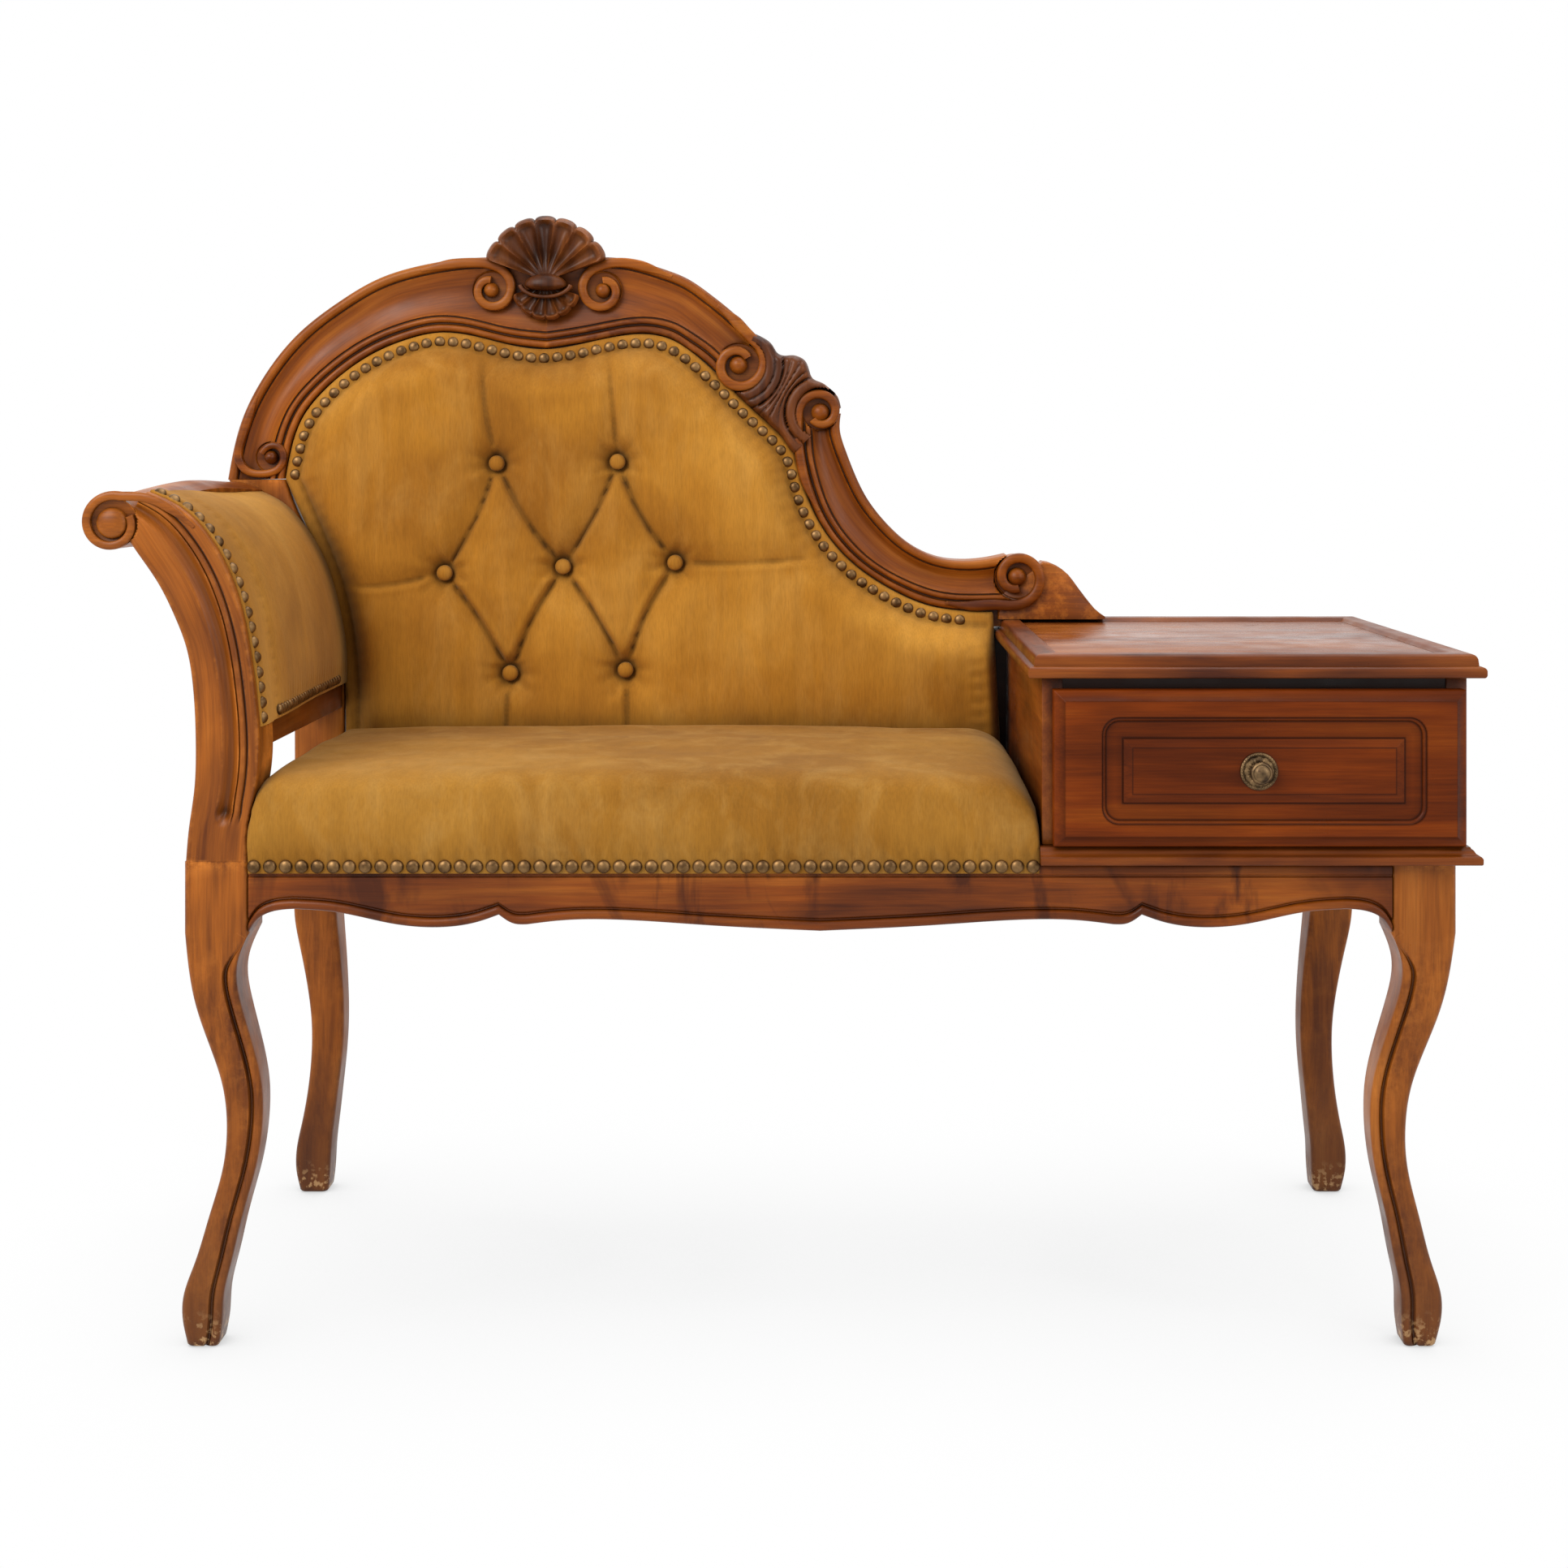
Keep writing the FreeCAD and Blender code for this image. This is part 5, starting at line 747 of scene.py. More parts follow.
def clasp():
    """Between two scrolls: two collars round the crest's scroll, a fluted leaf, and a round band."""
    face = BACK_FRONT - 2.0
    upper = [(427.6, 425.8), (436.0, 421.5), (443.0, 415.5), (448.0, 408.0), (454.0, 405.8), (461.0, 406.2),
             (467.5, 404.8), (473.0, 401.3), (477.1, 392.2), (480.6, 384.5), (489.0, 380.5), (496.0, 375.5),
             (503.0, 368.7), (506.5, 358.0)]
    lower = [(402.3, 379.6), (407.0, 375.2), (412.0, 370.5), (418.0, 365.0), (424.0, 359.5), (430.0, 354.2),
             (436.0, 348.6), (442.0, 343.0), (448.0, 337.3), (453.5, 331.5), (457.5, 325.5), (461.0, 320.0),
             (463.0, 317.8), (464.2, 316.8)]
    rows, cols = 150, 40
    top = smooth_path([at(p) for p in upper], rows)
    low = smooth_path([at(p) for p in lower], rows)
    crest_c, swept_c = at((411.5, 397.0)), at((487.5, 353.0))
    rings = []
    for i in range(rows):
        ring = []
        away = (low[i] - top[i]) / np.linalg.norm(low[i] - top[i])
        edge_low = low[i] + away * 3.0
        for j in range(cols):
            t = j / (cols - 1)
            p = edge_low * (1 - t) + top[i] * t
            r1 = math.hypot(*(p - crest_c))
            r2 = math.hypot(*(p - swept_c))
            if r1 < 25.0 or r2 < 22.5:
                h = -13.0
            elif r1 < 34.0:
                h = 3.4 * float(bump(r1 - 29.5, 4.7)) ** 0.8
            elif r1 < 41.5:
                h = 2.8 * float(bump(r1 - 37.8, 3.9)) ** 0.8
            elif r2 < 32.5:
                h = 4.6 * float(bump(r2 - 27.5, 5.2)) ** 0.8
            else:
                across = (r1 - 41.5) / max(r1 - 41.5 + r2 - 32.5, 0.5)
                flutes = 1 - abs(math.sin(math.pi * across * 4)) ** 0.5
                h = 0.6 + 4.6 * math.sin(math.pi * across) ** 0.6 - 1.9 * flutes
            edge = math.sqrt(1 - (1 - min(min(t, 1 - t) / 0.12, 1)) ** 2)
            ring.append([p[0], face + 6.0 * (1 - edge) - h * (edge if h > 0 else 1), p[1]])
        tongue = edge_low + away * 8.0
        behind = ((top[i], BACK_REAR - 2.5), (tongue, BACK_REAR - 2.5), (tongue, 170.5), (edge_low, 170.5))
        rings.append(ring + [[p[0], y, p[1]] for p, y in behind])
    points, faces = loft(rings)
    piece("clasp_carved", points, faces, SHELLWOOD, ["leaf_clasp"],
          grain=points[:, [2, 0, 1]], angle=60)


def tail():
    """The small bracket under the end scroll, with softened edges."""
    foot = 161.2
    outline = [(694.0, 214.6), (700.0, 213.6), (706.8, 210.8), (712.0, 207.4), (717.5, 202.6), (722.0, 197.0),
               (727.0, 190.0), (732.0, 183.4), (737.0, 177.0), (742.0, 171.0), (747.0, 166.8), (752.0, 163.4),
               (752.0, foot), (652.0, foot), (652.0, 182.0)]
    centre = at((706.0, 180.0))
    rings = []
    for y, inward in ((BACK_REAR - 4, 1.0), (BACK_REAR - 6, 0.0), (BACK_FRONT + 7, 0.0), (BACK_FRONT + 5, 0.6),
                      (BACK_FRONT + 4, 2.0)):
        ring = []
        for p in outline:
            d = centre - at(p)
            d = d / np.linalg.norm(d) * inward
            x, z = at(p) + [d[0], d[1] if p[1] > foot else 0]
            ring.append([x, y, z])
        rings.append(ring)
    points, faces = loft(rings)
    piece("tail_bracket_carved", points, faces, CARVED, ["tail_bracket"], grain=points, angle=40)


# Legs

# Height as a share of the rail's upper edge, outer and inner edge, setback of the front face, depth
FRONT_LEG = [
    (0.013, 7.5, 33.5, 2.5, 27.0), (0.05, 5.0, 35.5, 0.5, 29.5), (0.11, 5.2, 36.5, 0.0, 30.5),
    (0.17, 12.0, 40.5, 3.5, 31.0), (0.253, 19.8, 46.0, 10.0, 30.0), (0.36, 29.0, 55.0, 16.0, 28.5),
    (0.44, 30.5, 58.5, 18.0, 28.5), (0.528, 26.8, 58.0, 16.0, 30.0), (0.613, 17.8, 52.0, 10.5, 33.5),
    (0.70, 8.3, 44.0, 4.5, 37.0), (0.785, 2.8, 41.0, 1.0, 40.5), (0.853, 0.0, 50.0, 0.0, 45.0),
]
REAR_LEG = [
    (0.013, 3.5, 31.0, 2.5, 29.0), (0.05, 0.5, 32.0, 0.5, 31.5), (0.11, 0.5, 33.0, 0.0, 32.0),
    (0.17, 5.5, 36.0, 3.5, 32.0), (0.253, 12.0, 40.5, 10.0, 30.5), (0.36, 16.5, 45.5, 16.0, 28.5),
    (0.44, 16.5, 47.0, 18.0, 28.5), (0.528, 12.0, 45.5, 16.0, 30.0), (0.613, 5.0, 42.0, 10.5, 33.5),
    (0.70, -1.5, 38.0, 4.5, 37.0), (0.785, -1.0, 39.0, 1.0, 40.5), (0.853, 0.0, 50.0, 0.0, 45.0),
]
# Height above the rail, outer and inner edge
STILE = [(0.0, 0.0, 46.5), (35.0, 0.0, 46.5), (70.0, 0.0, 46.5), (105.0, 0.0, 46.4), (150.0, -4.5, 42.0),
         (195.0, -16.0, 31.5), (235.0, -33.0, 16.0), (265.0, -49.0, 1.5), (290.7, -61.0, -8.0)]


def leg_outline(outer, inner, depth, bead):
    """(sideways, inwards) places round a leg: rounded corners, and a bead and a groove at its inner edge."""
    r = 5.0
    path = arc(outer + r, r, r, 180, 270, 6)
    if bead > 0.02:
        b = 7.6 * bead
        g = inner - b
        path += [(g - 3.6, 0.0), (g - 3.0, 0.15), (g - 2.4, 1.3 * bead), (g - 1.4, 2.6 * bead),
                 (g - 0.5, 2.5 * bead), (g, 1.4 * bead)]
        path += arc(g + b / 2, b / 2 * 0.9, b / 2, 200, 360, 9, squash=0.9)
        path += [(inner, b * 0.6 + 1), (inner, b * 0.6 + 2)]
    else:
        path += [(inner - 9.0 - k * 0.01, 0.0) for k in range(6, 0, -1)]
        path += arc(inner - r, r, r, 270, 360, 9)
        path += [(inner, r + 1), (inner, r + 2)]
    return path + arc(inner - r, depth - r, r, 0, 90, 6) + arc(outer + r, depth - r, r, 90, 180, 6)


def leg(node_name, face_x, side, face_y, into, front, stile=False):
    """A cabriole leg. side and into point from its outer corner to the middle of the bench."""
    stations = FRONT_LEG if front else REAR_LEG
    drift = side * (7.0 if front else 3.0)
    knots = [RAIL_TOP * s[0] for s in stations]
    heights = np.linspace(knots[0], knots[-1], 86)
    sizes = spline(knots, [s[1:] for s in stations], heights)
    sizes = np.vstack([sizes, np.repeat(sizes[-1:], 8, axis=0)])
    heights = np.r_[heights, np.linspace(knots[-1] + 5, RAIL_TOP, 8)]
    knee = knots[-1]

    def ring(z, size, moved, bead, shrink=0.0):
        """One level of the leg, moved sideways towards its foot."""
        outer, inner, setback, depth = size
        return [[face_x + side * (u - moved), face_y + into * (setback + shrink + d), z]
                for u, d in leg_outline(outer + shrink, inner - shrink, depth - 2 * shrink, bead)]

    # The first three rings are the rounded sole
    sole = ((0.0, 3.6), (0.7, 1.6), (2.2, 0.5))
    rings = [ring(z, sizes[0], drift, float(front), shrink) for z, shrink in sole]
    for z, size in zip(heights, sizes):
        bead = float(ease((knee - z) / 34.0)) if front else 0.0
        rings.append(ring(z, size, drift * max(0.0, 1 - z / knee), bead))
    if stile:
        levels = np.linspace(0.0, STILE[-1][0], 60)
        shape = spline([s[0] for s in STILE], [s[1:] for s in STILE], levels)
        for height, (outer, inner) in zip(levels, shape):
            rings.append([[face_x + u, BACK_REAR - d, RAIL_TOP + height]
                          for u, d in leg_outline(outer, inner, BACK_THICK, 0.0)])
    points, faces = loft(rings)
    piece(node_name + "_carved", points, faces, LEGWOOD, [node_name], grain=points[:, [2, 0, 1]])


# Apron

APRON_HALVES = [
    [(-440.5, -54.0), (-434.0, -44.5), (-424.0, -39.0), (-406.0, -36.6)],
    [(-406.0, -36.6), (-374.0, -39.0), (-330.0, -48.0), (-296.0, -50.8), (-264.0, -46.5), (-248.0, -41.0)],
    [(-248.0, -41.0), (-236.0, -48.0), (-226.0, -48.5)],
    [(-226.0, -48.5), (-200.0, -45.5), (-160.0, -44.8), (-90.0, -49.0), (0.0, -53.5)],
]


def apron():
    """The shaped front rail, with a bead along its lower edge and a scratched line under the seat."""
    left = []
    for part, count in zip(APRON_HALVES, (26, 60, 22, 70)):
        left += list(smooth_path(part, count)[1 if left else 0:])
    left = np.array(left)
    edge = np.vstack([left, left[::-1][1:] * [-1, 1]]) + [(LEG_LEFT + LEG_RIGHT) / 2, RAIL_TOP]
    section = [(0.0, 22.0), (0.0, 4.4)]
    for a in np.radians(np.linspace(-80, 90, 9)):
        section.append((3.9 + 3.9 * math.sin(a), 3.4 - 3.8 * math.cos(a)))
    section += [(8.2, 2.6), (8.9, 2.8), (9.7, 1.5), (10.5, 0.4), (12.0, 0.0)]
    line = RAIL_TOP - 10.9
    upper = [(1.2, line - 0.3), (1.2, line + 0.7), (0.1, line + 1.4), (0, RAIL_TOP - 6), (0.8, RAIL_TOP - 0.6),
             (1.8, RAIL_TOP), (22, RAIL_TOP)]
    rings = []
    for x, z in edge:
        flat = [(0, z + 12 + (line - 1.0 - z - 12) * t) for t in np.linspace(0.12, 1, 6)]
        bead = [(d, z + v) for v, d in section]
        rings.append([[x, LEG_FRONT + d, level] for d, level in bead + flat + upper])
    points, faces = loft(rings)
    piece("apron_carved", points, faces, APRON, ["front_seat_rail"],
          grain=points[:, [0, 2, 1]], angle=55)


# Softened copies of flat wooden pieces


def softened(node_name, material, width, grain_axis="X"):
    """The CAD piece with its sharp edges rounded over."""
    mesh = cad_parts[node_name].data.copy()
    obj = new_object(node_name + "_dressed", mesh, material)
    in_edit_mode((bpy.ops.mesh.remove_doubles, {"threshold": 1e-5}),
                 (bpy.ops.mesh.dissolve_limited, {"angle_limit": math.radians(1)}))
    bevel = obj.modifiers.new("round", "BEVEL")
    bevel.width = width / 1000
    bevel.segments = 2
    bevel.angle_limit = math.radians(25)
    bevel.harden_normals = False
    bpy.ops.object.modifier_apply(modifier=bevel.name)
    bpy.ops.object.shade_smooth_by_angle(angle=math.radians(SHARP))
    turn = {"X": (0, 1, 2), "Y": (1, 0, 2)}[grain_axis]
    set_grain(mesh, np.array([v.co for v in mesh.vertices])[:, turn])
    return attach(obj, [node_name])


# Table


def ring_sweep(x0, x1, y0, y1, profile, sides):
    """Mouldings round a rectangle, mitred at its corners. profile is (inwards, z); sides names those made."""
    made = {}
    for name in sides:
        rows = []
        for d, z in profile:
            f, b = y0 + d, y1 - (0.3 if d < 12 else 1.0) * min(d, 40)
            corners = {"front": ((x0 + d, f), (x1 - d, f)), "back": ((x1 - d, b), (x0 + d, b)),
                       "left": ((x0 + d, b), (x0 + d, f)), "right": ((x1 - d, f), (x1 - d, b))}[name]
            (ax, ay), (bx, by) = corners
            rows.append([[ax + (bx - ax) * t, ay + (by - ay) * t, z] for t in np.linspace(0, 1, 12)])
        rings = np.array(rows).transpose(1, 0, 2)
        made[name] = loft(rings)
    return made


def table_top():
    """The four mitred mouldings, each with a rounded nose, a cove and a groove, and the panel between them."""
    low, high = millimetres("top_moulding_front")
    back = millimetres("top_moulding_back")[1][1]
    profile = [(26.0, 0.0), (1.5, 0.0), (0.5, 0.8), (0.0, 2.2), (0.0, 5.6), (0.5, 7.0), (1.6, 8.0), (3.2, 8.6),
               (4.9, 8.9), (5.1, 10.6)]
    profile = [(d, low[2] + z) for d, z in profile]
    for a in np.linspace(0, 90, 7):
        turn = math.radians(a)
        profile.append((5.3 + 4.4 * (1 - math.cos(turn)), low[2] + 12.6 + 5.2 * math.sin(turn)))
    upper = [(15.0, 18.0), (21.0, 18.0), (22.6, 17.8), (23.6, 17.0), (24.6, 15.8), (26.0, 15.1)]
    profile += [(d, low[2] + z) for d, z in upper]
    made = ring_sweep(low[0], high[0], low[1], back, profile, ("front", "right", "left", "back"))
    for name, (points, faces) in made.items():
        turn = [0, 1, 2] if name in ("front", "back") else [1, 0, 2]
        piece("top_moulding_%s_dressed" % name, points, faces, BOARDS, ["top_moulding_" + name],
              grain=points[:, turn], angle=50)
    softened("table_top_panel", TOPWOOD, 0.4)


def case_base():
    """The moulded base board, plain at the left and behind."""
    (x0, y0, z0), (x1, y1, _) = millimetres("case_base")
    steps = [(1.0, 0.0), (0.3, 0.5), (0.0, 1.4), (0.0, 4.6), (0.4, 5.6), (1.2, 6.4), (2.4, 7.0), (3.6, 7.6),
             (4.6, 8.6), (5.3, 9.8), (6.2, 11.0), (7.4, 11.8), (8.0, 13.0)]
    rings = []
    for d, z in steps:
        corners = [(x0, y0 + d), (x1 - d, y0 + d), (x1 - d, y1), (x0, y1)]
        ring = []
        for (ax, ay), (bx, by) in zip(corners, corners[1:] + corners[:1]):
            ring += [[ax + (bx - ax) * t, ay + (by - ay) * t, z0 + z]
                     for t in np.linspace(0, 1, 14, endpoint=False)]
        rings.append(ring)
    points, faces = loft(rings)
    piece("case_base_dressed", points, faces, BOARDS, ["case_base"], grain=points, angle=50)


def rounded_frame(x0, x1, z0, z1, r):
    """Places round a rectangle with round corners, as many for every size."""
    ring = []
    corners = ((x1 - r, z0 + r, -90), (x1 - r, z1 - r, 0), (x0 + r, z1 - r, 90), (x0 + r, z0 + r, 180))
    for k, (x, z, start) in enumerate(corners):
        turn = [(x + r * math.cos(math.radians(start + t)), z + r * math.sin(math.radians(start + t)))
                for t in np.linspace(0, 90, 9)]
        nx, nz, ns = corners[(k + 1) % 4]
        goal = (nx + r * math.cos(math.radians(ns)), nz + r * math.sin(math.radians(ns)))
        ex, ez = turn[-1]
        ring += turn + [(ex + (goal[0] - ex) * t, ez + (goal[1] - ez) * t)
                        for t in np.linspace(0, 1, 14)[1:-1]]
    return ring


def drawer_front():
    """The overlaid front: bevelled edge, sunk round-cornered field with a small moulding, raised panel."""
    (x0, face, z0), (x1, rear, z1) = millimetres("drawer_front")
    outer = (x0, x1, z0, z1)
    field = fx0, fx1, fz0, fz1 = x0 + 36.7, x1 - 31.7, z0 + 17.6, z1 - 20.6
    panel = (fx0 + 16.2, fx1 - 16.2, fz0 + 16.2, fz1 - 16.2)
    # Inset, place of the face, corner radius, and share of painted crease shade of each line
    edges = [
        (outer, [(0.8, rear, 0.6, 0), (0.0, rear - 0.8, 0.8, 0), (0.0, face + 6.2, 0.8, 0),
                 (0.5, face + 5.2, 0.8, 0), (1.3, face + 4.7, 0.6, 0), (7.9, face + 1.0, 0.4, 0.5),
                 (8.3, face + 0.3, 0.4, 0.5), (9.2, face, 0.4, 0)]),
        (field, [(-1.2, face, 14.0, 0), (-0.3, face + 0.3, 13.5, 0.5), (0.2, face + 1.5, 13.0, 0.95),
                 (0.9, face + 1.9, 12.6, 0.5), (1.8, face + 2.2, 12.0, 0.15), (2.6, face + 3.2, 11.0, 0.5),
                 (3.0, face + 4.0, 10.6, 0.95), (4.6, face + 4.1, 9.4, 0.3), (10.0, face + 4.1, 6.0, 0.1)]),
        (panel, [(-1.6, face + 4.1, 0.6, 0.3), (-0.2, face + 4.0, 0.5, 0.95), (0.2, face + 3.2, 0.4, 0.8),
                 (0.9, face + 2.9, 0.3, 0.2), (6.2, face + 0.9, 0.3, 0.1), (6.9, face + 0.45, 0.3, 0.8),
                 (8.0, face + 0.3, 0.3, 0), (17.0, face + 0.3, 0.3, 0)]),
    ]
    rings, crease_shades = [], []
    for (a, b, c, d), lines in edges:
        for inset, y, r, crease_shade in lines:
            crease_shades.append(crease_shade)
            rings.append([[x, y, z] for x, z in rounded_frame(a + inset, b - inset, c + inset, d - inset, r)])
    points, faces = loft(rings)
    front = piece("drawer_front_dressed", points, faces, DRAWER, ["drawer_front"], "drawer",
                  grain=points[:, [0, 2, 1]], angle=40)
    # Painted shade in the creases: each line's share, for all of its places
    dark = np.zeros(len(front.data.vertices))
    dark[:len(rings) * len(rings[0])] = np.repeat(crease_shades, len(rings[0]))
    front.data.attributes.new("crease_shade", "FLOAT", "POINT").data.foreach_set("value", dark)


def lathe(steps, centre, y_face, cols, wave):
    """A turned shape of (radius, reach) steps. wave bends a step at an angle round it."""
    rings = []
    for r, reach in steps:
        ring = []
        for t in circle(cols):
            rr, yy = wave(r, reach, t)
            ring.append([centre[0] + rr * math.cos(t), y_face - yy, centre[1] + rr * math.sin(t)])
        rings.append(ring)
    return loft(rings)


def knob():
    """The round plate with its petals and beads, and the turned knob with its facets."""
    low, high = millimetres("knob_backplate")
    centre = ((low[0] + high[0]) / 2, (low[2] + high[2]) / 2)
    face = high[1]

    def petals(r, reach, t):
        """Twelve low petals on the plate's middle ring."""
        return r, reach + (0.35 * math.cos(12 * t) if 6.5 < r < 11 else 0)

    def facets(r, reach, t):
        """Ten shallow facets round the widest part of the knob."""
        return r * (1 - 0.035 * (0.5 + 0.5 * math.cos(10 * t)) * (1 if r > 7.5 else 0)), reach

    steps = [(14.3, 0), (14.5, 0.6), (14.2, 1.5), (13.2, 2.1), (12.1, 1.9), (11.5, 1.2), (10.6, 1.1),
             (9.2, 1.7), (7.6, 1.6), (6.8, 1.0), (6.0, 1.0), (5.6, 1.8), (3.0, 2.0)]
    parts = [lathe(steps, centre, face, 96, petals)]
    for t in circle(36):
        x, z = centre[0] + 13.1 * math.cos(t), centre[1] + 13.1 * math.sin(t)
        parts.append(ball(x, face - 1.6, z, 0.95, 1.0, 4, 8))
    points, faces = merge(parts)
    piece("knob_plate_dressed", points, faces, BRASS, ["knob_backplate"], "drawer")
    steps = [(4.6, 2.0), (4.9, 2.6), (4.2, 3.2), (3.7, 4.6), (3.9, 6.2), (5.4, 7.6), (7.6, 8.6), (8.6, 9.8),
             (8.8, 11.0), (8.4, 12.2), (7.2, 13.1), (6.8, 13.2), (6.4, 13.0), (5.6, 13.9), (4.2, 14.9),
             (2.4, 15.5), (0.4, 15.7)]
    points, faces = lathe(steps, centre, face, 60, facets)
    piece("knob_dressed", points, faces, BRASS, ["drawer_knob"], "drawer")


# Upholstery

# Drawn places: the back pad's edge from its lower left corner, the buttons, and the pleats between buttons
# and from a button to the edge
PAD_POINTS = [
    (47.3, 10), (47.3, 105), (43, 150), (32.5, 195), (17, 235), (-7.6, 291.4), (-1.5, 322),
    (8.5, 348.5), (25, 370), (48.6, 391.2), (76.6, 409), (106.5, 421), (133, 426.6), (163, 424.2),
    (196, 416.2), (234, 411.4), (272, 417.5), (302.4, 423.6), (329, 425), (349.6, 420), (375, 403),
    (401, 379), (424, 356), (449, 333), (463.8, 313), (470.9, 289), (481, 260.5), (497.1, 234.3),
    (519.3, 211.1), (551.5, 189.5), (589.7, 173.4), (620, 169.2), (647, 168.0), (656, 10),
]
TUFTS = [(190.3, 305.9), (301.3, 307.4), (142.5, 205.2), (251.3, 211.1), (354.2, 214.7), (202.8, 113.3),
         (308.6, 116.2)]
PLEATS = [(0, 2), (0, 3), (1, 3), (1, 4), (2, 5), (3, 5), (3, 6), (4, 6)]
PLEATS_OUT = [(0, (177.3, 405.8)), (1, (291.5, 409.5)), (2, (46.4, 192.0)), (4, (487.2, 219.9)),
              (5, (202.8, 15.0)), (6, (308.6, 15.0))]


def pad_outline():
    """The back pad's outline in drawn places: straight sides, and smooth left and upper edges."""
    left = smooth_path(PAD_POINTS[0:6], 120)
    top = smooth_path(PAD_POINTS[5:33], 420)
    path = np.vstack([left[:-1], top, [PAD_POINTS[33]], [PAD_POINTS[0]]])
    steps = run_along(path)
    places = np.linspace(0, steps[-1], int(steps[-1] / 2.5), endpoint=False)
    return np.c_[np.interp(places, steps, path[:, 0]), np.interp(places, steps, path[:, 1])]


def to_segment(points, a, b):
    """Distance of each place from a straight line between two points, and its share along it."""
    a, b = np.array(a, float), np.array(b, float)
    way = b - a
    t = np.clip(((points - a) @ way) / (way @ way), 0, 1)
    return np.linalg.norm(points - (a + t[:, None] * way), axis=1), t


def to_outline(points, outline):
    """Distance from the outline, how far along it, and whether each place is inside."""
    best = np.full(len(points), 1e9)
    along = np.zeros(len(points))
    inside = np.zeros(len(points), bool)
    run = 0.0
    for a, b in zip(outline, np.roll(outline, -1, axis=0)):
        d, t = to_segment(points, a, b)
        length = np.linalg.norm(b - a)
        nearer = d < best
        best[nearer] = d[nearer]
        along[nearer] = run + t[nearer] * length
        run += length
        crosses = (a[1] > points[:, 1]) != (b[1] > points[:, 1])
        if crosses.any():
            where = a[0] + (points[:, 1] - a[1]) / (b[1] - a[1]) * (b[0] - a[0])
            inside ^= crosses & (points[:, 0] < where)
    return best, along, inside


def fold_line(a, b, sag):
    """Places along a slightly bowed pleat."""
    a, b = np.array(a, float), np.array(b, float)
    way = b - a
    side = np.array([-way[1], way[0]]) / np.linalg.norm(way)
    t = np.linspace(0, 1, 9)[:, None]
    return a + way * t + side * sag * np.sin(math.pi * t)


def to_line(points, line):
    """Distance from a bowed line, the side of it as a sign, and the share along it."""
    best = np.full(len(points), 1e9)
    side = np.zeros(len(points))
    along = np.zeros(len(points))
    for k, (a, b) in enumerate(zip(line, line[1:])):
        d, t = to_segment(points, a, b)
        way = b - a
        cross = (points[:, 0] - a[0]) * way[1] - (points[:, 1] - a[1]) * way[0]
        nearer = d < best
        best[nearer] = d[nearer]
        side[nearer] = np.sign(cross[nearer])
        along[nearer] = (k + t[nearer]) / (len(line) - 1)
    return best, side, along


def pad_lift(points, outline):
    """How far the tufted pad stands out in front of its edge at drawn places."""
    edge, along, _ = to_outline(points, outline)
    # The right end beside the table is a tight round. The other edges slope to their nails
    (upper_x, upper_z), (lower_x, lower_z) = PAD_POINTS[-2:]
    open_end = outline + np.array([60.0, 0.0]) * (outline[:, :1] > upper_x - 7.0)
    slope = to_outline(points, open_end)[0]
    right = np.interp(points[:, 1], (lower_z, upper_z), (lower_x, upper_x)) - points[:, 0]
    t = np.clip((slope - 12.5) / 36.0, 0, 1)
    share = (1 - (1 - t) ** 2.4) * np.sqrt(1 - (1 - np.clip(right / 12.0, 0, 1)) ** 2)
    bottom = points[:, 1] < 40
    lift = 1.5 * ease(edge / 2.0) + (PAD_LIFT - 1.5) * share
    dip = np.zeros(len(points))
    lip = np.zeros(len(points))
    bows = (6.0, -5.0, 5.0, -6.0, 5.0, -4.0, 4.0, -5.0, 3.0, -2.0, 4.0, -3.0, -2.0, 2.0)
    lines = [(TUFTS[a], TUFTS[b], 1.0) for a, b in PLEATS] + [(TUFTS[a], end, 0.8) for a, end in PLEATS_OUT]
    for k, (a, b, strength) in enumerate(lines):
        away, side, t = to_line(points, fold_line(a, b, bows[k]))
        steep = np.where(side * (1 if k % 2 else -1) > 0, 2.4, 8.0)
        depth = strength * (8.5 * np.exp(-away / steep) + 7.5 * np.exp(-(away / 20.0) ** 2))
        depth *= 0.84 + 0.16 * np.cos(2 * math.pi * t)
        if strength < 1:
            depth *= 1 - 0.35 * ease(t)
        dip = np.maximum(dip, depth)
        lip = np.maximum(lip, strength * 1.3 * np.exp(-((away - 5.0) / 3.2) ** 2) * (steep < 5))
    for x, z in TUFTS:
        away = np.hypot(points[:, 0] - x, points[:, 1] - z)
        angle = np.arctan2(points[:, 1] - z, points[:, 0] - x)
        hole = 21.0 * np.exp(-(away / 12.0) ** 1.5) + 6.5 * np.exp(-(away / 34.0) ** 2)
        hole += 0.7 * np.sin(9 * angle + x) * np.exp(-((away - 18) / 9.0) ** 2)
        dip = np.maximum(dip, hole) + 0.2 * np.minimum(dip, hole)
    lift = lift + (lip - dip) * share
    gather = np.sin(2 * math.pi * along / 12.2 + 1.4 * np.sin(along / 37.0))
    lift += 0.5 * gather * np.exp(-((edge - 19) / 8.0) ** 2) * ~bottom
    lift += 1.0 * wander(points[:, 0], points[:, 1], 70.0, 3.1) * share
    lift += 0.3 * wander(points[:, 0], points[:, 1], 16.0, 8.4) * share
    return np.clip(lift, 0.0, PAD_LIFT + 1.5)


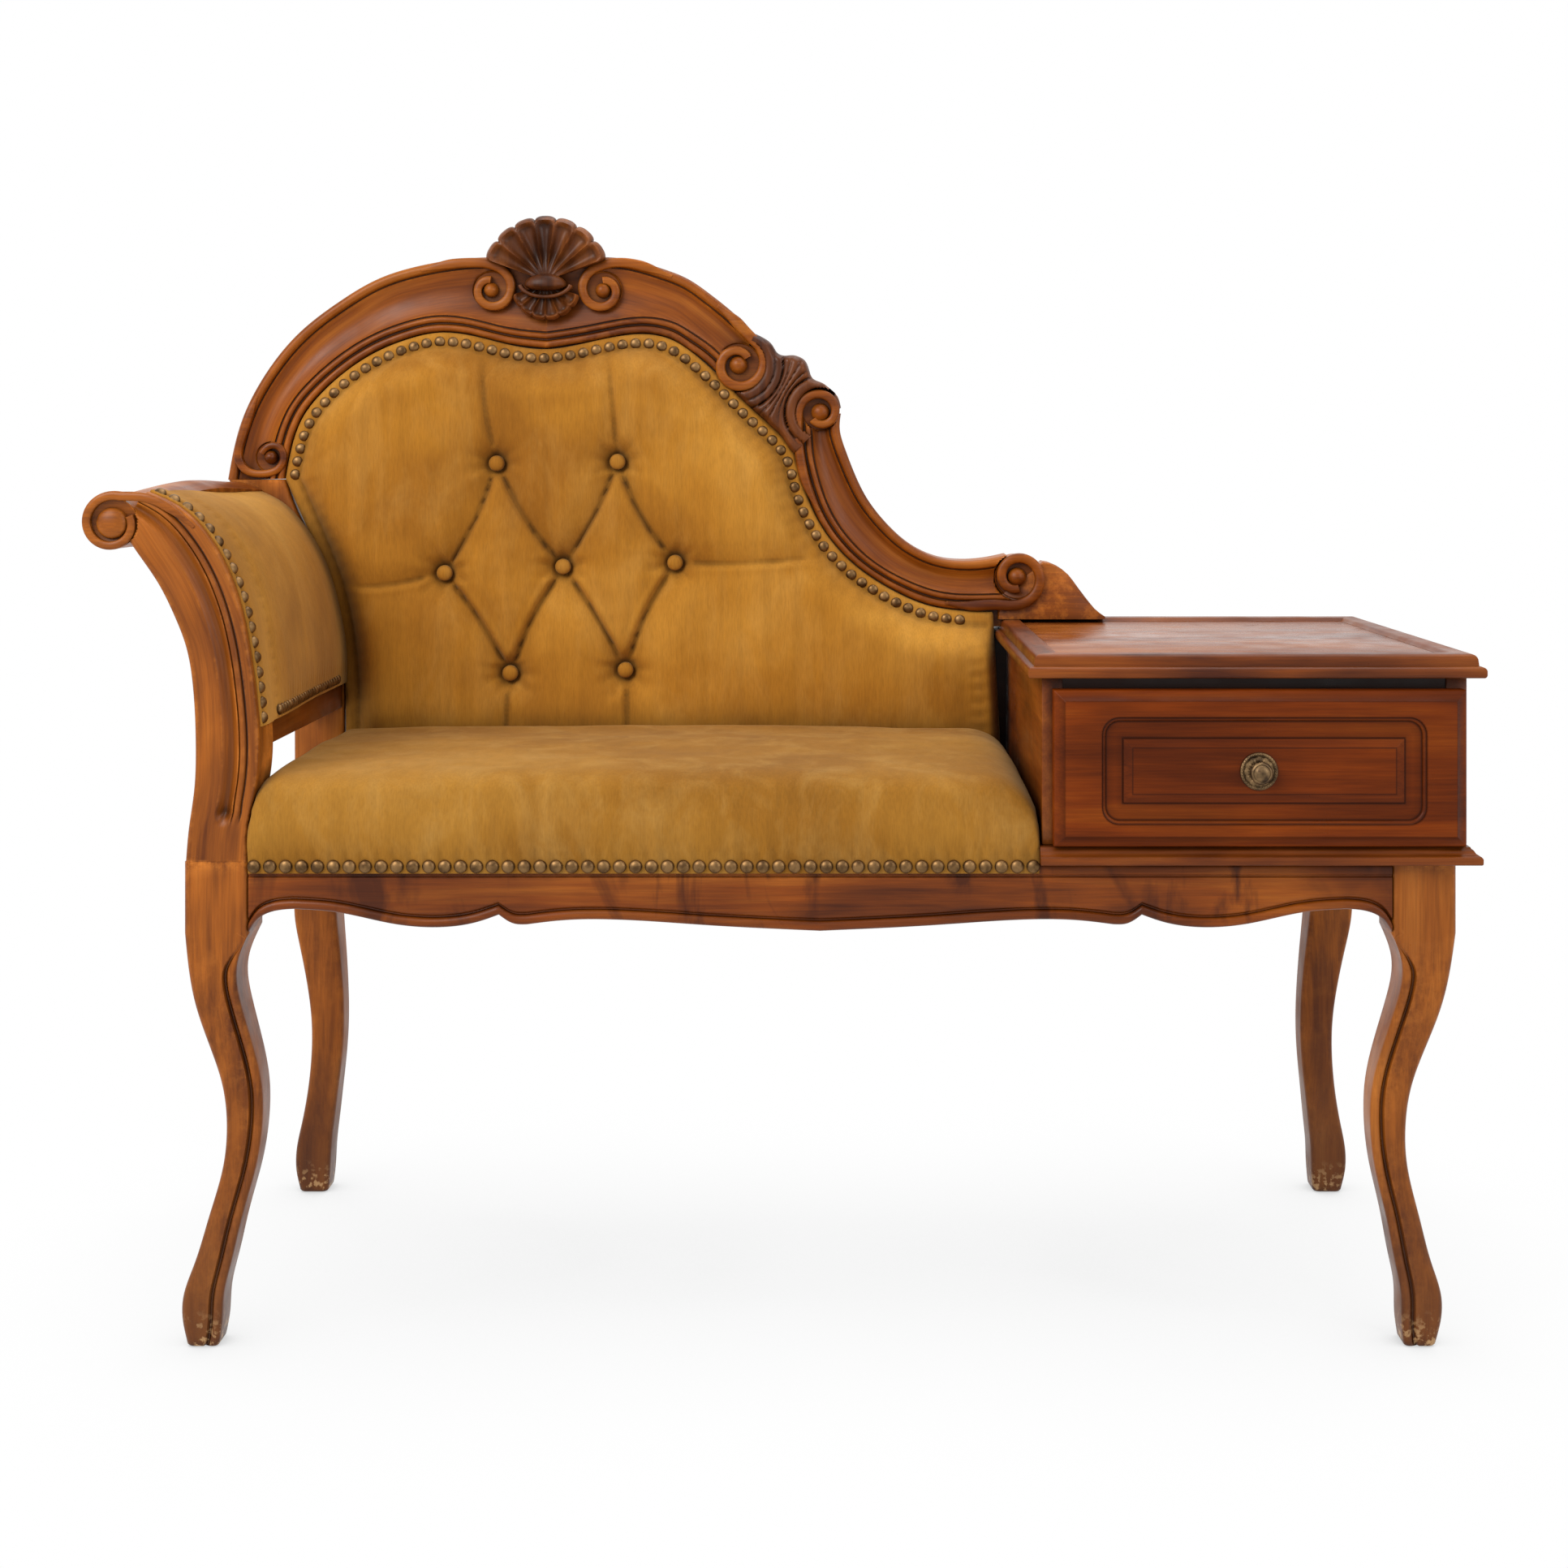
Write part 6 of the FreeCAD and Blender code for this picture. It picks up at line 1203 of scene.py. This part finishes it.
def back_pad():
    """The tufted pad. Each of its seven buttons is drawn in, with pleats from one to the next."""
    outline = pad_outline()
    low, high = outline.min(axis=0), outline.max(axis=0)
    step = 2.6
    xs, zs = np.arange(low[0], high[0], step), np.arange(low[1], high[1], step * 0.87)
    grid = np.array([(x + (step / 2 if j % 2 else 0), z) for j, z in enumerate(zs) for x in xs])
    edge, _, inside = to_outline(grid, outline)
    grid = grid[inside & (edge > 2.2)]
    places = np.vstack([outline, grid])
    n = len(outline)
    made = delaunay_2d_cdt([Vector(p) for p in places], [(k, (k + 1) % n) for k in range(n)], [], 1, 1e-4)
    places = np.array(made[0])
    faces = [list(f) for f in made[2]]
    lift = pad_lift(places, outline)
    points = np.array([[*at(p), 0] for p in places])[:, [0, 2, 1]]
    points[:, 1] = PAD_EDGE - lift
    # A wall runs back from the rim, a little outwards, to one closing face
    edges = {(a, b): True for f in faces for a, b in zip(f, f[1:] + f[:1])}
    rim = [(a, b) for a, b in edges if (b, a) not in edges]
    rim_points = sorted({a for a, b in rim})
    back = {a: len(points) + k for k, a in enumerate(rim_points)}
    behind = points[rim_points].copy()
    away = behind[:, [0, 2]] - points[:, [0, 2]].mean(axis=0)
    behind[:, [0, 2]] += away / np.linalg.norm(away, axis=1)[:, None]
    behind[:, 1] = PAD_EDGE + 8.5
    points = np.vstack([points, behind])
    after = dict(rim)
    walls = [(a, b, back[b], back[a]) for a, b in rim]
    loop = [rim[0][0]]
    while after[loop[-1]] != loop[0]:
        loop.append(after[loop[-1]])
    faces += walls + [[back[a] for a in loop]]
    pad = piece("back_pad_tufted", points, faces, VELVET, ["back_pad"], angle=75)


def islands(node_name):
    """Lowest and highest corner in millimetres of each separate solid of a CAD node."""
    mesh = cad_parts[node_name].data
    places = np.array([v.co for v in mesh.vertices]) * 1000
    parent = list(range(len(places)))

    def root(a):
        """The first corner of the solid that a corner belongs to."""
        while parent[a] != a:
            parent[a] = parent[parent[a]]
            a = parent[a]
        return a

    merged = {}
    for k, p in enumerate(np.round(places, 3)):
        first = merged.setdefault(tuple(p), k)
        parent[root(k)] = root(first)
    for edge in mesh.edges:
        a, b = root(edge.vertices[0]), root(edge.vertices[1])
        parent[a] = b
    groups = {}
    for k in range(len(places)):
        groups.setdefault(root(k), []).append(k)
    return [(places[g].min(axis=0), places[g].max(axis=0)) for g in groups.values()]


def dome(centre, way, radius, high, rows=6, cols=18, sink=1.0):
    """A nail or button head: a dome that faces along way."""
    way = Vector(way).normalized()
    side = way.orthogonal().normalized()
    up = way.cross(side)
    centre = Vector(centre)
    steps = [(radius, -sink), (radius, 0.0)]
    steps += [(radius * math.cos(a), high * math.sin(a)) for a in np.linspace(0.12, math.pi / 2 - 0.08, rows)]
    rings = []
    for r, reach in steps:
        rings.append([list(centre + way * reach + (side * math.cos(t) + up * math.sin(t)) * r)
                      for t in circle(cols)])
    return loft(rings)


def post_nails(tilt):
    """The nails that hold the arm's cloth against the inner side of the carved post."""
    curve = smooth_path(ARM_POST_INNER, 400)
    run = run_along(curve)
    parts = []
    for reach in np.arange(6.0, run[-1] - 4.0, 11.8):
        k = int(np.searchsorted(run, reach))
        a, b = curve[max(k - 3, 0)], curve[min(k + 3, len(curve) - 1)]
        out = np.array([b[1] - a[1], -(b[0] - a[0])])
        out /= np.linalg.norm(out)
        x, z = at(curve[k] + out * 1.4)
        parts.append(dome((x, ARM_CLOTH_START + 5.0, z), tilt((out[0], -0.75, out[1])), 4.7, 3.0))
    return parts


def nails():
    """Every row of domed nails, each nail a little out of true."""
    random.seed(7)

    def tilt(way):
        """A direction a little out of true."""
        return Vector(way) + Vector([random.uniform(-0.07, 0.07) for _ in range(3)])

    for name in ("seat_nails", "back_nails", "arm_front_nails", "arm_bottom_nails"):
        parts = []
        for low, high in islands(name):
            centre = (low + high) / 2
            if name in ("seat_nails", "back_nails"):
                radius, way = (high[0] - low[0]) / 2, (0, -1, 0)
                centre[1] = high[1] - 0.2
            elif name == "arm_bottom_nails":
                radius, way = (high[1] - low[1]) / 2, (1, 0, 0)
                share = (centre[1] - ARM_START) / (ARM_END - ARM_START)
                centre[0] = LEG_LEFT + ARM_PAD_INNER[0][0] + 7.5 * (1 - ease(share / 0.7)) + 0.8
            else:
                radius = (high[1] - low[1]) / 2
                x, z = centre[0] - LEG_LEFT, centre[2] - RAIL_TOP
                curve = np.array(ARM_PAD_INNER)
                k = int(np.argmin(np.hypot(curve[:, 0] - x, curve[:, 1] - z)))
                a, b = curve[max(k - 1, 0)], curve[min(k + 1, len(curve) - 1)]
                way = (b[1] - a[1], 0, -(b[0] - a[0]))
                centre = centre - np.array(Vector(way).normalized()) * 1.1
            parts.append(dome(centre, tilt(way), radius * 1.1, 3.0))
        if name == "arm_front_nails":
            # This row goes on the post instead of where its solids are
            parts = post_nails(tilt)
        points, faces = merge(parts)
        piece(name + "_domes", points, faces, NAIL, [name], angle=60)


def buttons():
    """Cloth-covered buttons, sunk in the pad."""
    parts = []
    for low, high in islands("back_buttons"):
        centre = (low + high) / 2
        parts.append(dome((centre[0], high[1] + 0.5, centre[2]), (0, -1, 0), 7.2, 4.2, 8, 28, sink=3.0))
    points, faces = merge(parts)
    button = piece("back_buttons_covered", points, faces, VELVET, ["back_buttons"], angle=60)


# Where the arm's pad and its cloth start behind the post's face, and where both end
ARM_START = LEG_FRONT + POST_DEPTH + 0.3
ARM_CLOTH_START = LEG_FRONT + 7.0
ARM_END = BACK_FRONT - 0.3
ARM_PAD_INNER = [(49.5, 103.5), (49.5, 130.0), (44.5, 165.0), (36.5, 197.0), (24.5, 227.0), (8.0, 252.0),
                 (-10.0, 270.0), (-28.9, 280.0)]
ARM_POST_INNER = [(57.0, 103.5)] + [inner for outer, inner in POST[4:]]
ARM_COVER_OUTER = [(11.0, 80.3), (10.2, 100.0), (8.5, 130.0), (3.5, 163.0), (-6.0, 189.0), (-19.0, 215.0),
                   (-34.0, 236.0)]


def arm():
    """The padded arm: its inner pad, outer cover, rolled wooden top and bottom rail."""
    inner = smooth_path(ARM_PAD_INNER, 72)
    front = smooth_path(ARM_POST_INNER, 72)
    way = directions(inner)
    out = np.c_[way[:, 1], -way[:, 0]]
    s = np.linspace(0, 1, len(inner))
    rings = []
    for t in np.linspace(0, 1, 120):
        y = ARM_START + (ARM_END - ARM_START) * t
        swell = np.interp(t, (0, 0.045, 0.075, 0.11, 0.18, 0.45, 0.8, 1.0),
                          (0, 0, 0.6, 2.6, 4.2, 6.0, 4.6, 0.0))
        lift = swell * np.sin(math.pi * (s * 0.94 + 0.03)) ** 0.8
        lift -= 1.4 * (1 - ease(t / 0.012))
        lift += 0.5 * np.sin(2 * math.pi * s * 21) * math.exp(-((t - 0.07) / 0.025) ** 2)
        lift += 0.45 * math.sin(2 * math.pi * t * 33) * np.exp(-((s - 0.07) / 0.04) ** 2) * ease((t - 0.1) * 8)
        lift += 0.5 * wander(s * 200, np.full(len(s), y), 60.0, 5.5) * swell / 6
        face = inner + (front - inner) * (1 - ease(t / 0.7)) + out * lift[:, None]
        behind = np.c_[inner[:, 0] - 20.0 * (1 - 0.97 * s), inner[:, 1] - 18.0 * s][::-1][::4]
        rings.append(ring_at(np.vstack([face, behind]), y))
    wrap = []
    for y, thick in ((ARM_CLOTH_START, 0.2), (ARM_CLOTH_START + 1.2, 1.5), (ARM_START - 14, 1.9),
                     (ARM_START + 2, 1.2)):
        wrap.append(ring_at(np.vstack([front + out * thick, (front - out * 1.5)[::-1]]), y))
    points, faces = merge([loft(rings), loft(wrap)])
    pad = piece("arm_pad_stuffed", points, faces, VELVET_ARM, ["arm_pad"], angle=60)
    outer = smooth_path(ARM_COVER_OUTER, 48)
    sheet = np.vstack([outer, outer[::-1] + [1.6, -0.4]])
    points, faces = loft([ring_at(sheet, y) for y in np.linspace(ARM_START, ARM_END, 40)])
    cover = piece("arm_cover_stretched", points, faces, VELVET_ARM, ["arm_outside_cover"], angle=60)
    loop = smooth_path([(-29.5, 262.0), (-40.0, 246.0), (-54.0, 241.0), (-70.0, 246.0), (-78.0, 258.0),
                        (-74.0, 271.0), (-58.0, 283.0), (-42.0, 282.5), (-29.5, 277.0)], 54)
    places = np.linspace(0, 1, 60)
    rises = spline((0.0, 0.25, 0.5, 0.75, 1.0), (0.0, 5.0, 8.0, 6.5, 4.5), places)
    rings = []
    for t, rise in zip(places, rises):
        y = ARM_START + (ARM_END - ARM_START) * t
        rings.append([[x, y, z + rise * ease((p[1] - 246.0) / 30.0)] for p in loop for x, z in [at(p)]])
    points, faces = loft(rings)
    piece("arm_roll_smooth", points, faces, CARVED, ["arm_top_rail"],
          grain=points[:, [1, 0, 2]], angle=50)
    softened("arm_bottom_rail", BOARDS, 1.2, "Y")


def seat_pad():
    """The seat: crowned, turned down over the front rail, and drawn to its nails."""
    low, high = millimetres("seat_pad")
    x0, x1 = low[0], high[0]
    front, rear, floor = LEG_FRONT - 2.4, high[1], RAIL_TOP + 0.3
    across = np.r_[np.linspace(0, 0.03, 8, endpoint=False), np.linspace(0.03, 0.93, 200, endpoint=False),
                   np.linspace(0.93, 1, 26)]
    rings = []
    for t in across:
        x = x0 + (x1 - x0) * t
        left = np.clip((x - x0) / 16.0, 0, 1)
        right = np.clip((x1 - x) / 44.0, 0, 1)
        share = 0.62 + 0.38 * math.sqrt(1 - (1 - left) ** 2)
        share *= 0.48 + 0.52 * math.sqrt(1 - (1 - right) ** 2.2)
        share += 0.045 * math.sin(math.pi * t) ** 1.2
        top = RAIL_TOP + 66.0 * share
        shoulder = floor + (top - floor) * 0.66
        swell = 3.5 * share
        knots = [(front + 0.6, 366.6), (front, 369.0), (front - 0.2, 376.0),
                 (front - swell * 0.8, floor + (shoulder - floor) * 0.3),
                 (front - swell, floor + (shoulder - floor) * 0.65), (front + 1.0, shoulder),
                 (front + 6, top - 10.5 * share), (front + 16, top - 4.6 * share), (front + 36, top - 1.2),
                 (front + 110, top + 1), (front + 200, top + 1.4), (rear - 30, top + 0.4),
                 (rear - 8, top - 2.5), (rear - 1, top - 9)]
        path = smooth_path(knots, 96)
        z = path[:, 1]
        gather = math.sin(2 * math.pi * (x + 405) / 12.2) * np.exp(-((z - 383) / 7.0) ** 2)
        gather = gather * (path[:, 0] < front + 20)
        path[:, 0] -= 0.6 * gather
        ring = [[x, y, zz] for y, zz in path]
        ring += [[x, rear, floor + 20], [x, rear, floor], [x, front + 3.0, floor], [x, front + 2.2, 366.6]]
        rings.append(ring)
    points, faces = loft(rings)
    x, y, z = points.T
    on_top = ease((z - 388) / 25) * (y < rear - 2)
    z = np.minimum(z + on_top * (1.3 * wander(x, y, 110.0, 2.2) + 0.35 * wander(x, y, 24.0, 6.1)), high[2] + 2)
    # Beside the arm post the cushion gives way
    beside = spline([p[1][1] for p in POST[:5]], [p[1][0] for p in POST[:5]], np.clip(z - RAIL_TOP, 0, 130))
    x = np.where(y < LEG_FRONT + POST_DEPTH + 2, np.maximum(x, LEG_LEFT + beside + 0.8), x)
    pad = piece("seat_pad_stuffed", np.c_[x, y, z], faces, VELVET_SEAT, ["seat_pad"], angle=60)


def dress_cad():
    """Materials on the CAD pieces that are shown as they are."""
    groups = (
        (INNER_X, ("back_board", "back_bottom_rail", "case_back", "corner_blocks", "drawer_back",
                   "drawer_bottom", "seat_board")),
        (INNER_Y, ("drawer_kickers", "drawer_runner_left", "drawer_runner_right", "drawer_side_left",
                   "drawer_side_right", "middle_seat_rail")),
        # The stile and the rail above the drawer stand in shadow, so they get painted shade
        (SHADOWWOOD, ("back_right_stile", "case_top_rail")),
        (STEEL, ("corner_block_screws", "knob_screw")),
    )
    for material, names in groups:
        for name in names:
            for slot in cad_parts[name].material_slots:
                slot.link = "OBJECT"
                slot.material = material


crest_left()
crest_right()
swept()
arm_post()
shell()
clasp()
tail()
leg("front_left_leg", LEG_LEFT, 1, LEG_FRONT, 1, True)
leg("front_right_leg", LEG_RIGHT, -1, LEG_FRONT, 1, True)
leg("rear_left_leg", LEG_LEFT, 1, LEG_REAR, -1, False, stile=True)
leg("rear_right_leg", LEG_RIGHT, -1, LEG_REAR, -1, False)
apron()
softened("left_seat_rail", BOARDS, 1.2, "Y")
softened("right_seat_rail", BOARDS, 1.2, "Y")
softened("rear_seat_rail", BOARDS, 1.2)
table_top()
case_base()
softened("case_side_left", BOARDS, 1.0, "Y")
softened("case_side_right", BOARDS, 1.0, "Y")
drawer_front()
knob()
back_pad()
buttons()
nails()
arm()
seat_pad()
dress_cad()


# Stage


def plane(name, size, z, material):
    """A level square of the stage."""
    mesh = bpy.data.meshes.new(name)
    s = size / 2
    mesh.from_pydata([(-s, -s, z), (s, -s, z), (s, s, z), (-s, s, z)], [], [(0, 1, 2, 3)])
    new_object(name, mesh, material)


def seen_directly(tree):
    """1 for rays from the camera, of gloss and through glass, and 0 for the light on the bench."""
    path = node(tree, "ShaderNodeLightPath")
    seen = math_node(tree, "MAXIMUM", path.outputs["Is Camera Ray"], path.outputs["Is Glossy Ray"])
    return math_node(tree, "MAXIMUM", seen, path.outputs["Is Transmission Ray"])


def stage():
    """A floor and surround that are white to the camera, in gloss and in glass, with a painted shadow on the
    floor.
    """
    material, tree, bsdf = shader("studio_floor")
    bsdf.inputs["Base Color"].default_value = (0.8, 0.8, 0.8, 1)
    bsdf.inputs["Roughness"].default_value = 1.0
    bsdf.inputs["Specular IOR Level"].default_value = 0.0
    # Painted shadow: the floor's white glow is darkened by ambient occlusion near the bench
    white = ramp(tree, occlusion(tree, 0.45, 16), [(0.3, (0.62,)), (0.6, (0.9,)), (0.93, (1.0,))])
    glow = node(tree, "ShaderNodeEmission", {"Color": white, "Strength": 1.0})
    both = node(tree, "ShaderNodeMixShader", {0: seen_directly(tree), 1: bsdf.outputs[0], 2: glow.outputs[0]})
    tree.links.new(both.outputs[0], tree.nodes["Material Output"].inputs["Surface"])
    plane("floor", 30.0, 0.0, material)
    world = bpy.data.worlds.new("studio")
    bpy.context.scene.world = world
    world.use_nodes = True
    tree = world.node_tree
    back = tree.nodes["Background"]
    back.inputs["Color"].default_value = (1.0, 1.0, 1.0, 1)
    strength = node(tree, "ShaderNodeMapRange", {"Value": seen_directly(tree), "To Min": 0.42, "To Max": 1.0})
    tree.links.new(strength.outputs[0], back.inputs["Strength"])


def lamp(name, place, aim, size, power, colour=(1, 1, 1)):
    """A soft rectangular lamp that points from its place to its aim."""
    light = bpy.data.lights.new(name, "AREA")
    light.shape = "RECTANGLE"
    light.size, light.size_y = size
    light.energy = power
    light.color = colour
    light.spread = math.radians(180)
    obj = bpy.data.objects.new(name, light)
    bpy.context.scene.collection.objects.link(obj)
    obj.location = place
    obj.rotation_euler = (Vector(aim) - Vector(place)).to_track_quat("-Z", "Y").to_euler()


# The photograph's width, its focal length and the shift of its middle, in pixels
PHOTO_WIDTH = 1932
FOCAL = 2656
SHIFT = (-69, -406)


def camera():
    """The photograph's viewpoint: square to the front, a little above the table."""
    data = bpy.data.cameras.new("photo")
    data.sensor_width = 36.0
    data.lens = data.sensor_width * FOCAL / PHOTO_WIDTH
    data.shift_x = SHIFT[0] / PHOTO_WIDTH
    data.shift_y = SHIFT[1] / PHOTO_WIDTH
    obj = bpy.data.objects.new("photo", data)
    bpy.context.scene.collection.objects.link(obj)
    obj.location = (0.0457, -1.835, 0.689)
    obj.rotation_euler = (math.radians(90), 0, 0)
    bpy.context.scene.camera = obj


stage()
lamp("key", (-1.6, -2.0, 2.1), (-0.1, 0, 0.5), (1.6, 1.6), 64, (1.0, 0.98, 0.95))
lamp("fill", (2.2, -1.8, 1.6), (0.1, 0, 0.4), (1.4, 1.8), 20, (0.96, 0.98, 1.0))
lamp("top", (0.5, 0.3, 3.0), (0.1, 0.0, 0.4), (2.4, 1.8), 36)
camera()

bpy.context.scene.view_settings.view_transform = "Standard"
